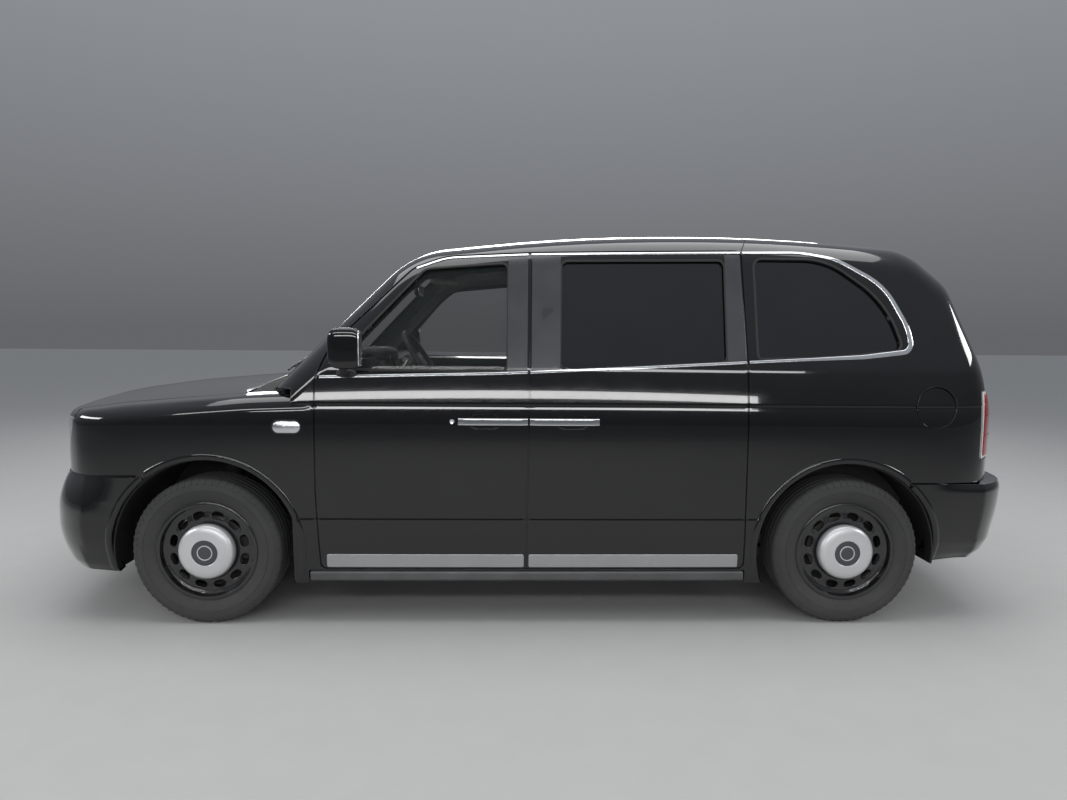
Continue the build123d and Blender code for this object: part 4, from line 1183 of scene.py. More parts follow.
def pad(
    width: float,
    length: float,
    thick: float,
    crown: float,
    seams: Sequence[tuple[str, float]] = (),
    bolster: float = 0.0,
    edge: float = 34.0,
    count: int = 40,
) -> Solid:
    """Return a stuffed cushion about the origin: crowned, with channels and raised sides.

    Args:
        width: Size along x.
        length: Size along y.
        thick: Size along z before the crown.
        crown: How far the middle of the top swells.
        seams: Channels as (axis they cross, place along it).
        bolster: How far the sides rise.
        edge: Radius of the rolled edge.
        count: Faces along each side.
    """
    half = np.array([width, length, thick]) / 2
    even = np.linspace(-1, 1, count + 1)
    ticks = [np.sin(even * math.pi / 2) * 0.35 + even * 0.65] * 3
    points, faces, base = [], [], 0
    for axis in range(3):
        a, b = (axis + 1) % 3, (axis + 2) % 3
        for sign in (-1.0, 1.0):
            grid = np.zeros((count + 1, count + 1, 3))
            grid[..., axis] = sign * half[axis]
            grid[..., a] = (ticks[a] * half[a])[:, None]
            grid[..., b] = (ticks[b] * half[b])[None, :]
            points.append(grid.reshape(-1, 3))
            number = base + np.arange((count + 1) ** 2).reshape(count + 1, count + 1)
            quads = np.stack([number[:-1, :-1], number[1:, :-1], number[1:, 1:], number[:-1, 1:]], -1).reshape(-1, 4)
            faces.append(quads if sign > 0 else quads[:, ::-1])
            base += (count + 1) ** 2
    spots = np.concatenate(points)
    r = min(edge, thick / 2.02)
    core = np.clip(spots, r - half, half - r)
    gap = spots - core
    spots = core + gap / np.maximum(np.linalg.norm(gap, axis=1), 1e-6)[:, None] * r
    x, y = spots[:, 0] / half[0], spots[:, 1] / half[1]
    top = np.clip(spots[:, 2] / half[2], 0, 1) ** 0.6
    swell = crown * (1 - np.abs(x) ** 2.6) * (1 - np.abs(y) ** 2.6)
    swell = swell + bolster * np.clip(np.abs(x) * 2.6 - 1.5, 0, 1) ** 2
    for way, spot in seams:
        reach = spots[:, 0] - spot if way == "x" else spots[:, 1] - spot
        seam, puff = np.exp(-np.abs(reach) / SEAM_WIDTH), np.exp(-((reach / PUFF_WIDTH) ** 2))
        swell -= SEAM_DEPTH * seam - PUFF_HEIGHT * puff
    spots[:, 2] += top * swell
    return welded(Solid.of(spots, np.concatenate(faces)))


def blob(centre: Sequence[float], radii: Sequence[float], power: float = 3.0, count: int = 28) -> Solid:
    """Return a closed soft-cornered form, between an ellipsoid and a box."""
    solid = pad(2, 2, 2, 0.0, edge=0.99, count=count)
    way = solid.points / np.abs(solid.points).max(1)[:, None]
    size = (np.abs(way) ** power).sum(1) ** (1 / power)
    return Solid(way / size[:, None] * np.array(radii) + np.array(centre), solid.faces, [], solid.slots)


def extruded(rows: Sequence[Row], low: float, high: float, edge: float = 6.0) -> Solid:
    """Return a prism along Y of an (x, z) outline, with rolled ends."""
    levels = [(low, -edge), (low + edge * 0.3, -edge * 0.3), (low + edge, 0.0)]
    levels += [(low + high - y, grow) for y, grow in reversed(levels)]
    ring = rounded(rows, 30.0)
    centre = ring.mean(0)
    side = np.roll(ring, -1, 0) - np.roll(ring, 1, 0)
    out = np.column_stack([side[:, 1], -side[:, 0]]) / np.linalg.norm(side, axis=1)[:, None]
    if np.einsum("ij,ij->", out, ring - centre) < 0:
        out = -out
    rings = []
    for y, grow in levels:
        flat = ring + out * grow
        rings.append(np.column_stack([flat[:, 0], np.full(len(flat), y), flat[:, 1]]))
    number = np.arange(len(levels) * len(ring)).reshape(len(levels), len(ring))
    area = (ring[:, 0] * np.roll(ring[:, 1], -1) - np.roll(ring[:, 0], -1) * ring[:, 1]).sum()
    here, there = number[:-1], number[1:]
    quads = np.stack([here, there, np.roll(there, -1, 1), np.roll(here, -1, 1)], -1).reshape(-1, 4)
    caps = np.array([number[0], number[-1][::-1]])
    if area < 0:
        quads, caps = quads[:, ::-1], caps[:, ::-1]
    return Solid.of(np.concatenate(rings), quads, caps)


def evaluated(host: bpy.types.Object) -> bpy.types.Mesh:
    """Return a host's mesh with its modifiers applied."""
    graph = bpy.context.evaluated_depsgraph_get()
    return bpy.data.meshes.new_from_object(host.evaluated_get(graph))


def mesh_points(mesh: bpy.types.Mesh) -> np.ndarray:
    """Return the (N, 3) points of a mesh in metres."""
    points = np.empty(len(mesh.vertices) * 3)
    mesh.vertices.foreach_get("co", points)
    return points.reshape(-1, 3)


def mesh_faces(mesh: bpy.types.Mesh) -> list[np.ndarray]:
    """Return the faces of a mesh, grouped by their number of corners."""
    totals, starts = np.empty((2, len(mesh.polygons)), int)
    corners = np.empty(len(mesh.loops), int)
    mesh.polygons.foreach_get("loop_total", totals)
    mesh.polygons.foreach_get("loop_start", starts)
    mesh.loops.foreach_get("vertex_index", corners)
    return [corners[np.add.outer(starts[totals == n], np.arange(n))] for n in np.unique(totals)]


class Stuffing:
    """Inflates cushions with the cloth solver, so that they bulge between pinned seams."""

    frames = 20
    voxel = 0.006
    slack = (0.975, 0.975, 0.93)
    pinned_share = 0.3
    pressure = 4.0

    @classmethod
    def pinned(cls, start: np.ndarray, seams: Sequence[tuple[str, float]]) -> np.ndarray:
        """Return which points stay where they are: the underside and the seams' threads."""
        low = start[:, 2].min()
        pinned = start[:, 2] < low + cls.pinned_share * (start[:, 2].max() - low)
        for way, spot in seams:
            across = start[:, 0] if way == "x" else start[:, 1]
            pinned |= np.abs(across - spot * MM * cls.slack[0]) < 0.6 * cls.voxel
        return pinned

    @classmethod
    def inflate(cls, solid: Solid, seams: Sequence[tuple[str, float]], limit: float = 24.0) -> Solid:
        """Blow a cushion up a little.

        Args:
            solid: The cushion about its own axes, in millimetres.
            seams: Channels as (axis they cross, place along it); their threads stay where they are.
            limit: Furthest that any point may move.
        """
        mesh = bpy.data.meshes.new("stuffing")
        scaled = solid.points * list(cls.slack) * MM
        mesh.from_pydata(scaled.tolist(), [], solid.face_lists())
        host = linked("stuffing", mesh)
        remesh = host.modifiers.new("remesh", "REMESH")
        remesh.mode, remesh.voxel_size = "VOXEL", cls.voxel
        even = evaluated(host)
        host.modifiers.remove(remesh)
        host.data = even
        start = mesh_points(even)
        held = np.flatnonzero(cls.pinned(start, seams))
        host.vertex_groups.new(name="seams").add(held.tolist(), 1.0, "REPLACE")
        cloth = host.modifiers.new("cloth", "CLOTH")
        cloth.settings.quality = 4
        cloth.settings.use_pressure = True
        cloth.settings.uniform_pressure_force = cls.pressure
        cloth.settings.effector_weights.gravity = 0.0
        cloth.settings.vertex_group_mass = "seams"
        cloth.point_cache.frame_start, cloth.point_cache.frame_end = 1, cls.frames
        scene = bpy.context.scene
        for number in range(1, cls.frames + 1):
            scene.frame_set(number)
        final = evaluated(host)
        host.modifiers.remove(cloth)
        scene.frame_set(1)
        moved = mesh_points(final) - start
        length = np.maximum(np.linalg.norm(moved, axis=1), 1e-9)
        points = (start + moved * np.minimum(1, limit * MM / length)[:, None]) / MM
        faces = mesh_faces(final)
        bpy.data.objects.remove(host)
        LOG.info("stuffed: %d points, moved %.1f mm at most", len(points), min(limit, length.max() / MM))
        return Solid.of(points, *faces)


class Weaver:
    """Geometry Nodes groups that repeat a piece or sweep a tube, read back as solids."""

    def __init__(self) -> None:
        self.repeat_tree, self.repeat_sockets = self.repeat_group()
        self.tube_tree, self.tube_sockets = self.tube_group()

    @staticmethod
    def start(name: str, inputs: dict[str, str]) -> tuple[bpy.types.NodeTree, dict[str, str]]:
        """Open a group with its inputs, and return it with their identifiers by name."""
        tree = bpy.data.node_groups.new(name, "GeometryNodeTree")
        socket = tree.interface.new_socket
        socket("Geometry", in_out="INPUT", socket_type="NodeSocketGeometry")
        sockets = {
            label: socket(label, in_out="INPUT", socket_type=f"NodeSocket{kind}").identifier
            for label, kind in inputs.items()
        }
        socket("Geometry", in_out="OUTPUT", socket_type="NodeSocketGeometry")
        return tree, sockets

    @staticmethod
    def nodes(tree: bpy.types.NodeTree, kinds: dict[str, str]) -> dict[str, bpy.types.Node]:
        """Add nodes of some kinds to a group, with those that every group has, and return them by name."""
        shared = {
            "entry": "NodeGroupInput",
            "real": "GeometryNodeRealizeInstances",
            "paint": "GeometryNodeSetMaterial",
            "leave": "NodeGroupOutput",
        }
        return {name: tree.nodes.new(kind) for name, kind in (shared | kinds).items()}

    @staticmethod
    def wire(
        tree: bpy.types.NodeTree,
        nodes: dict[str, bpy.types.Node],
        wires: Sequence[tuple[str, str | int, str, str | int]],
    ) -> None:
        """Join nodes by (node, output, node, input), then make the result real and paint it."""
        paint = (("real", 0, "paint", "Geometry"), ("entry", "Finish", "paint", "Material"))
        for source, output, target, socket in (*wires, *paint, ("paint", 0, "leave", 0)):
            tree.links.new(nodes[source].outputs[output], nodes[target].inputs[socket])

    @classmethod
    def repeat_group(cls) -> tuple[bpy.types.NodeTree, dict[str, str]]:
        """Build the group that repeats a piece by a step and a turn, each copy shifted by a random share of them up
        to its jitter.
        """
        inputs = {"Piece": "Object", "Count": "Int", "Step": "Vector", "Turn": "Vector", "Jitter": "Float"}
        tree, sockets = cls.start("repeat", inputs | {"Seed": "Int", "Finish": "Material"})
        kinds = {
            "index": "GeometryNodeInputIndex",
            "noise": "FunctionNodeRandomValue",
            "low": "ShaderNodeMath",
            "total": "ShaderNodeMath",
            "step": "ShaderNodeVectorMath",
            "turn": "ShaderNodeVectorMath",
            "euler": "FunctionNodeEulerToRotation",
            "dots": "GeometryNodePoints",
            "piece": "GeometryNodeObjectInfo",
            "copies": "GeometryNodeInstanceOnPoints",
        }
        nodes = cls.nodes(tree, kinds)
        nodes["low"].operation = "MULTIPLY"
        nodes["low"].inputs[1].default_value = -1.0
        nodes["step"].operation = nodes["turn"].operation = "SCALE"
        cls.wire(tree, nodes, (
            ("entry", "Jitter", "low", 0),
            ("entry", "Seed", "noise", "Seed"),
            ("index", 0, "total", 0),
            ("entry", "Step", "step", 0),
            ("total", 0, "step", "Scale"),
            ("entry", "Turn", "turn", 0),
            ("total", 0, "turn", "Scale"),
            ("turn", 0, "euler", 0),
            ("step", 0, "dots", "Position"),
            ("entry", "Count", "dots", "Count"),
            ("entry", "Piece", "piece", "Object"),
            ("dots", 0, "copies", "Points"),
            ("piece", "Geometry", "copies", "Instance"),
            ("euler", 0, "copies", "Rotation"),
            ("copies", 0, "real", 0),
        ))
        noise = nodes["noise"]
        lowest, highest, *_ = (socket for socket in noise.inputs if socket.type == "VALUE" and socket.enabled)
        tree.links.new(nodes["low"].outputs[0], lowest)
        tree.links.new(nodes["entry"].outputs["Jitter"], highest)
        tree.links.new(next(socket for socket in noise.outputs if socket.enabled), nodes["total"].inputs[1])
        return tree, sockets

    @classmethod
    def tube_group(cls) -> tuple[bpy.types.NodeTree, dict[str, str]]:
        """Build the group that sweeps a round tube along the host's edges."""
        tree, sockets = cls.start("tube", {"Radius": "Float", "Sides": "Int", "Finish": "Material"})
        kinds = {
            "curve": "GeometryNodeMeshToCurve",
            "circle": "GeometryNodeCurvePrimitiveCircle",
            "sweep": "GeometryNodeCurveToMesh",
        }
        nodes = cls.nodes(tree, kinds)
        nodes["sweep"].inputs["Fill Caps"].default_value = True
        cls.wire(tree, nodes, (
            ("entry", "Geometry", "curve", 0),
            ("entry", "Sides", "circle", "Resolution"),
            ("entry", "Radius", "circle", "Radius"),
            ("curve", 0, "sweep", "Curve"),
            ("circle", 0, "sweep", "Profile Curve"),
            ("sweep", 0, "real", 0),
        ))
        return tree, sockets

    @staticmethod
    def run(tree: bpy.types.NodeTree, mesh: bpy.types.Mesh, values: dict[str, object]) -> Solid:
        """Run a group on a host mesh, with inputs by identifier, and read the result."""
        host = linked("nodes_host", mesh)
        modifier = host.modifiers.new("nodes", "NODES")
        modifier.node_group = tree
        for identifier, value in values.items():
            modifier[identifier] = value
        result = evaluated(host)
        host.modifiers.remove(modifier)
        solid = Solid.of(mesh_points(result) / MM, *mesh_faces(result))
        bpy.data.objects.remove(host)
        return solid

    def repeated(
        self, solid: Solid, count: int, step: Sequence[float] = (0, 0, 0), turn: Sequence[float] = (0, 0, 0)
    ) -> Solid:
        """Return count copies of a piece, each moved and turned on from the last (mm, radians)."""
        mesh = bpy.data.meshes.new("repeat_piece")
        mesh.from_pydata((solid.points * MM).tolist(), [], solid.face_lists())
        piece = linked("repeat_piece", mesh)
        values = {"Piece": piece, "Count": count, "Step": [v * MM for v in step], "Turn": list(turn)}
        values |= {"Jitter": 0.0, "Seed": 7}
        ids = self.repeat_sockets
        result = self.run(self.repeat_tree, bpy.data.meshes.new("host"), {ids[k]: v for k, v in values.items()})
        bpy.data.objects.remove(piece)
        return result

    def tube(self, path: Sequence[Sequence[float]], radius: float, closed: bool = False, sides: int = 12) -> Solid:
        """Return a round tube along a path."""
        count = len(path)
        mesh = bpy.data.meshes.new("tube_path")
        edges = [(i, (i + 1) % count) for i in range(count if closed else count - 1)]
        mesh.from_pydata([[v * MM for v in spot] for spot in path], edges, [])
        ids = self.tube_sockets
        return self.run(self.tube_tree, mesh, {ids["Radius"]: radius * MM, ids["Sides"]: sides})


def bent(rows: Sequence[tuple[float, float, float]], radius: float, parts: int = 7) -> np.ndarray:
    """Return a 3-D path through rows with every corner rounded."""
    rows = [np.array(row, float) for row in rows]
    out = [rows[0]]
    for before, here, after in zip(rows, rows[1:], rows[2:]):
        reach = min(radius, 0.45 * np.linalg.norm(before - here), 0.45 * np.linalg.norm(after - here))
        start = here + (before - here) / np.linalg.norm(before - here) * reach
        end = here + (after - here) / np.linalg.norm(after - here) * reach
        for t in np.linspace(0, 1, parts):
            out.append((1 - t) ** 2 * start + 2 * t * (1 - t) * here + t * t * end)
    return np.array([*out, rows[-1]])


# ---------------------------------------------------------------- outlines of the cab
def symmetric(rows: Sequence[Row]) -> list[Row]:
    """Complete an outline given for one side of the middle plane."""
    return [*rows, *((-y, z, r) for y, z, r in reversed(rows))]


FRONT_DOOR = (
    (966, 266, 30), (984, 620, 700), (984, 1150, 90), (922, 1300, 160), (552, 1666, 120),
    (400, 1726, 300), (-12, 1745, 0), (4, 900, 900), (14, 266, 0),
)
REAR_DOOR = ((14, 266, 0), (4, 900, 900), (-12, 1745, 0), (-1010, 1762, 30), (-1010, 266, 30))
FRONT_WINDOW = ((872, 1196, 24), (862, 1258, 60), (494, 1660, 70), (106, 1690, 30), (106, 1190, 30))
REAR_WINDOW = ((-140, 1198, 30), (-150, 1702, 30), (-924, 1712, 30), (-912, 1236, 30))
QUARTER_WINDOW = (
    (-1062, 1252, 20), (-1070, 1722, 40), (-1420, 1722, 330),
    (-1690, 1520, 420), (-1752, 1296, 36), (-1400, 1262, 900),
)
WINDSCREEN = symmetric(((742, 1152, 40), (592, 1742, 60)))
TAILGATE = symmetric(((560, 1900, 0), (600, 1600, 400), (640, 1240, 400), (636, 680, 20)))
REAR_SCREEN = symmetric(((560, 1290, 70), (505, 1690, 70)))
LAMP_REAR = ((2101, 1400), (2098, 967), (2174, 785), (2180, 600))
HEADLAMP = ((330, 706, 40), (330, 956, 60), (1000, 956, 0), (1000, 706, 0))
GRILLE = symmetric(((268, 604, 40), (292, 938, 60)))
INTAKE = symmetric(((430, 330, 30), (400, 470, 40)))
PARTITION_PANE = symmetric(((610, 1040, 50), (560, 1640, 60)))
FRONT_PLATE = rect(-262, 262, 486, 598, 8)
FLAP = (-1893.0, 1031.0)
STEP_X = (-1010.0, 1016.0)
FRONT_ARCH = 432.0
REAR_ARCH = 424.0
HANDLE_Z = 958.0
HANDLES = {"front_door": (11.0, 325.0), "rear_door": (-3.0, -317.0)}
EDGE = 2.0
GAP = 3.0
FAR = 3200.0

CABIN = Form(CABIN_ROWS, 3200.0, NOSE_TIP, 78 - NOSE_TIP, 85.0, 60.0)
NOSE = Form(NOSE_ROWS, 5900.0, NOSE_TIP - 66, -NOSE_TIP, 60.0, 50.0)
FRONT_BUMPER = Stack((
    (240, 75), (252, 58), (272, 44), (311, 30), (345, 17), (380, 8), (430, 0),
    (520, 0), (560, 4), (600, 14), (640, 28), (680, 47), (700, 57),
))
REAR_BUMPER = Stack((
    (290, 100), (310, 74), (334, 56), (362, 46), (378, 34), (420, 28),
    (460, 20), (510, 11), (560, 4), (610, 0), (650, 0), (676, 14),
))

FLAT_MAP = SidePatch()
SIDE_MAP = SidePatch(400.0, 1330.0)
CORNER_MAP = SidePatch(400.0, 1330.0, -1880.0)
SCREEN_MAP = EndPatch(200.0, 1000.0, 1.0)
TAIL_MAP = EndPatch(-1500.0, 1200.0, -1.0)
FRONT_WRAP = WrapPatch(1860.0, 1.0)
REAR_WRAP = WrapPatch(-1860.0, -1.0)
FRONT_START = 1900.0
TAIL_START = -1600.0
SCREEN_BEYOND = 300.0


def side_cut(rows: Sequence[Row], grow: float = 0.0, keep: bool = False) -> Cut:
    """Return a cut seen from the side."""
    return Cut(Look.SIDE, rows, grow, keep)


def front_cut(rows: Sequence[Row], grow: float = 0.0, keep: bool = False) -> Cut:
    """Return a cut seen from the front that acts on the nose and the front bumper."""
    return Cut(Look.FRONT, rows, grow, keep, start=FRONT_START)


def screen_cut(rows: Sequence[Row], grow: float = 0.0, keep: bool = False) -> Cut:
    """Return a cut seen from the front that acts on the windscreen and its frame."""
    return Cut(Look.FRONT, rows, grow, keep, SCREEN_BEYOND)


def rear_cut(rows: Sequence[Row], grow: float = 0.0, keep: bool = False, beyond: float = 1500.0) -> Cut:
    """Return a cut seen from the rear."""
    return Cut(Look.REAR, rows, grow, keep, beyond, TAIL_START)


def arch_rows(x: float, radius: float) -> list[Row]:
    """Return a wheel arch's outline, clear of the panel's rolled edge."""
    return circle_rows(x, AXLE_Z, radius + EDGE, 90)


def outside_arch(x: float, radius: float, p: np.ndarray) -> np.ndarray:
    """Return which (N, 3) places lie outside a wheel arch."""
    return np.hypot(p[:, 0] - x, p[:, 2] - AXLE_Z) > radius + EDGE


def fog_rows(y: float) -> list[Row]:
    """Return the outline of the fog lamp at a place across the bumper."""
    return rect(y - 75, y + 75, 374, 446, 35.9)


def bowl_place(door: str) -> float:
    """Return where the middle of a door's handle bowl is along x."""
    start, end = HANDLES[door]
    return start + (end - start) * 0.62


def bowl_rows(door: str) -> list[Row]:
    """Return the outline of a door's handle bowl."""
    return rect(bowl_place(door) - 70, bowl_place(door) + 70, 926, 990, 31)


def lay_path(
    rows: Sequence[Sequence[float]], look: Look, form: Field, start: float = 0.0
) -> tuple[np.ndarray, np.ndarray]:
    """Lay flat (a, b) points on a form.

    Returns:
        The (N, 3) points and the form's normals there.
    """
    points, _ = look_at(np.array(rows, float), look, form, start)
    return points, slope(form, points)


def beaded(
    rows: Sequence[Sequence[float]],
    look: Look,
    form: Field,
    section: np.ndarray,
    closed: bool = False,
    start: float = 0.0,
    lift: float = 0.0,
) -> Solid:
    """Sweep a section along flat points laid on a form, lifted off it by a distance."""
    path, normals = lay_path(rows, look, form, start)
    return swept(path + normals * lift, normals, section, closed)


TAILGATE_HOLE = rear_cut(TAILGATE, GAP + EDGE, beyond=1700.0)


@dataclass
class Kit:
    """Sub-assembly that places its pieces through a shared workshop and weaver."""

    shop: Workshop
    weave: Weaver

    def pair(
        self, name: str, solid: Solid, finishes: Finish | Sequence[Finish], body: str = "root", node: str = ""
    ) -> None:
        """Place a left piece and its mirror image, riding a body of their own side unless it is the root."""
        looks = (finishes, finishes) if isinstance(finishes, Finish) else finishes
        for side, part in (("left", solid), ("right", solid.mirrored())):
            rides = body if body == "root" else f"{body}_{side}"
            self.shop.place(f"{name}_{side}", part, looks, rides, [f"{node}_{side}"] if node else ())

    def single(
        self, name: str, solid: Solid, finishes: Finish | Sequence[Finish], body: str = "root", *nodes: str
    ) -> None:
        """Place one piece."""
        looks = (finishes, finishes) if isinstance(finishes, Finish) else finishes
        self.shop.place(name, solid, looks, body, nodes)


class Body(Kit):
    """Painted panels of the cab, each a shell cut from the rounded form."""

    def build(self) -> None:
        """Make every painted panel."""
        self.side_frames()
        self.roof()
        self.doors()
        self.wings()
        self.bonnet()
        self.tail()
        self.filler()
        self.bumpers()

    def side_frames(self) -> None:
        """Make pillars, sill, roof rail and rear quarter of both sides."""
        extent = (-2440.0, 1200.0, 196.0, 1930.0)
        shared = [
            Cut(Look.TOP, rect(-FAR, FAR, -900, 600 + EDGE), beyond=676, start=1000),
            screen_cut(WINDSCREEN, EDGE),
            side_cut(QUARTER_WINDOW, EDGE),
            side_cut(arch_rows(-AXLE, REAR_ARCH)),
            side_cut(rect(-1016 - EDGE, 1022 + EDGE, 0, 258 + EDGE)),
            side_cut(rect(-FAR, -1785 + EDGE, 0, 676 + EDGE)),
            side_cut(rect(1090, FAR, 0, 1104)),
            side_cut(rect(-FAR, -2127 + EDGE, 784 - EDGE, 1106 + EDGE)),
            TAILGATE_HOLE,
        ]
        pillar = [(480.0, 1150.0, 1130.0, 1900.0, 12.0)]

        def face(grow: float, more: Sequence[Cut], depths: Span) -> Solid:
            """Return one leaf of the frame, with its door holes grown by a distance."""
            holes = [side_cut(outline, grow) for outline in (FRONT_DOOR, REAR_DOOR)]
            cuts = [*shared, *holes, *more]
            return Skin.lay(CABIN, CORNER_MAP, extent, cuts, 24.0, clear_of_wing, pillar).shell(*depths)

        def clear_of_wing(p: np.ndarray) -> np.ndarray:
            """Return which places the wing doesn't cover."""
            return (p[:, 0] < 990) | (NOSE(p) > -15)

        flap = side_cut(circle_rows(*FLAP, 95 + EDGE, 72))
        for side, more in (("left", [flap]), ("right", [])):
            outer = face(GAP + EDGE, more, (0.0, 11.0, EDGE)).painted(0)
            whole = together(outer, face(EDGE - 16, more, (11.0, 70.0, EDGE)).painted(0, 1))
            whole = whole if side == "left" else whole.mirrored()
            self.single(f"side_panel_{side}", whole, (Finish.PAINT, Finish.LINING), "root", f"side_frame_{side}")

    def roof(self) -> None:
        """Make the roof panel."""
        extent = (-1829 + EDGE, 900.0, EDGE - 600, 600 - EDGE)
        cuts = [screen_cut(WINDSCREEN, EDGE)]
        skin = Skin.lay(CABIN, TopPatch(1000.0), extent, cuts, 30.0, lambda p: p[:, 2] > 1500)
        self.single("roof_skin", skin.shell(0, 70, EDGE), (Finish.PAINT, Finish.LINING), "root", "roof_panel")

    def doors(self) -> None:
        """Make the four side doors, each an outer skin round a set-in inner box."""
        for name, outline, window, low, high in (
            ("front_door", FRONT_DOOR, FRONT_WINDOW, -60.0, 1010.0),
            ("rear_door", REAR_DOOR, REAR_WINDOW, -1040.0, 40.0),
        ):
            extent = (low, high, 240.0, 1900.0)
            hole = side_cut(window, EDGE)
            cuts = [side_cut(outline, -GAP - EDGE, True), hole, side_cut(bowl_rows(name), EDGE)]
            outer = Skin.lay(CABIN, SIDE_MAP, extent, cuts).shell(0.0, 9.0, EDGE)
            cuts = [side_cut(outline, -24.0 - EDGE, True), hole]
            inner = Skin.lay(CABIN, SIDE_MAP, extent, cuts).shell(8.6, 69.0, EDGE)
            door = together(outer.painted(0), inner.painted(0, 1))
            self.pair(f"{name}_panel", door, (Finish.PAINT, Finish.PLASTIC), name, name)

    def wings(self) -> None:
        """Make the front wings."""
        cuts = [
            Cut(Look.TOP, rect(-FAR, FAR, -900, 776 + EDGE), start=700),
            side_cut(arch_rows(AXLE, FRONT_ARCH)),
            side_cut(rect(1800 - EDGE, FAR, 0, 703 + EDGE)),
            side_cut(rect(0, 1022 + EDGE, 0, 258 + EDGE)),
            side_cut([*((x, z, 0) for x, z in LAMP_REAR), (FAR, 600, 0), (FAR, 1400, 0)], EDGE),
        ]
        skin = Skin.lay(NOSE, SidePatch(560.0, 820.0), (987 + EDGE, 2196.0, 196.0, 1230.0), cuts, 20.0)
        self.pair("wing_panel", skin.shell(0, 22, EDGE), (Finish.PAINT, Finish.UNDERBODY), "root", "wing")

    def bonnet(self) -> None:
        """Make the bonnet with its rounded nose."""
        rear, head, side = 1320 + EDGE, 2107 + EDGE, 770 - EDGE
        half = ((rear, side), (head, side), (head, 1000), (FAR, 1000))
        tee = [*((x, -y, 0) for x, y in half), *((x, y, 0) for x, y in reversed(half))]
        nose = Cut(Look.FRONT, rect(-1500, 1500, 0, 962 + EDGE), start=1500)
        cuts = [Cut(Look.TOP, tee, keep=True, start=700), nose]
        skin = Skin.lay(NOSE, EndPatch(1900.0, 700.0, 1.0), (-900.0, 900.0, 880.0, 1770.0), cuts, 26.0)
        self.single("bonnet_panel", skin.shell(0, 28, EDGE), (Finish.PAINT, Finish.UNDERBODY), "bonnet", "bonnet")

    def tail(self) -> None:
        """Make the tailgate."""
        cuts = [
            rear_cut(TAILGATE, -GAP - EDGE, True),
            rear_cut(REAR_SCREEN, EDGE),
            Cut(Look.TOP, rect(-1835 - EDGE, 0, -900, 900), start=1000),
            rear_cut(rect(-260, 260, 826, 944, 12), EDGE),
        ]
        solid = Skin.lay(CABIN, TAIL_MAP, (-700.0, 700.0, 640.0, 1850.0), cuts, 22.0).shell(0, 66, EDGE)
        self.single("tailgate_panel", solid, (Finish.PAINT, Finish.LINING), "tailgate", "tailgate")

    def filler(self) -> None:
        """Make the filler flap, and the bowl and cap behind it."""
        disc = side_cut(circle_rows(*FLAP, 92.5 - EDGE, 64), keep=True)
        lid = Skin.lay(CABIN, SidePatch(400.0), (-2000.0, -1780.0, 920.0, 1140.0), [disc], 16.0)
        solid = lid.shell(0, 13, EDGE)
        self.single("filler_lid", solid, (Finish.PAINT, Finish.RUBBER), "filler_flap", "filler_flap")
        x, z = FLAP
        bowl = ((-62, 0), (-62, 84), (-56, 92), (-14, 96), (-12, 99), (-16, 99), (-60, 95), (-66, 86), (-66, 0))
        cap = ((-60, 38), (-34, 38), (-30, 35), (-28, 28), (-30, 0))
        self.single("filler_bowl", revolved(bowl, (x, 906.0, z), 72), (Finish.RUBBER,))
        grip = boxed(x - 30, x + 30, 874, 892, z - 5, z + 5, 4)
        self.single("filler_cap", together(revolved(cap, (x, 906.0, z), 48), grip), (Finish.PLASTIC,))

    def bumpers(self) -> None:
        """Make both bumpers."""
        looks = (Finish.PAINT, Finish.UNDERBODY)
        cuts = [
            side_cut(arch_rows(AXLE, FRONT_ARCH)),
            Cut(Look.TOP, rect(0, 1800 + EDGE, -1500, 1500), start=400),
            *(front_cut(rows, EDGE) for rows in (INTAKE, FRONT_PLATE, GRILLE, fog_rows(-620.0), fog_rows(620.0))),
        ]
        extent = (-1300.0, 1300.0, 240 + EDGE, 700 - EDGE)
        crest = [(-1300.0, 1300.0, 530.0, 700.0, 9.0)]

        def ahead(p: np.ndarray) -> np.ndarray:
            """Return which places the front bumper may have."""
            return outside_arch(AXLE, FRONT_ARCH, p)

        skin = Skin.lay(FRONT_BUMPER, FRONT_WRAP, extent, cuts, 20.0, ahead, crest)
        self.single("front_bumper_skin", skin.shell(0, 40, EDGE), looks, "root", "front_bumper")
        towing_eye = Cut(Look.REAR, circle_rows(-300, 495, 20), start=-1900)
        cuts = [side_cut(arch_rows(-AXLE, REAR_ARCH)), towing_eye]
        extent = (-1300.0, 1300.0, 290 + EDGE, 676 - EDGE)
        crest = [(-1300.0, 1300.0, 290.0, 400.0, 10.0), (-1300.0, 1300.0, 630.0, 676.0, 8.0)]

        def behind(p: np.ndarray) -> np.ndarray:
            """Return which places the rear bumper may have."""
            return outside_arch(-AXLE, REAR_ARCH, p) & (p[:, 0] < -1785 - EDGE)

        skin = Skin.lay(REAR_BUMPER, REAR_WRAP, extent, cuts, 20.0, behind, crest)
        self.single("rear_bumper_skin", skin.shell(0, 74, EDGE), looks, "root", "rear_bumper")


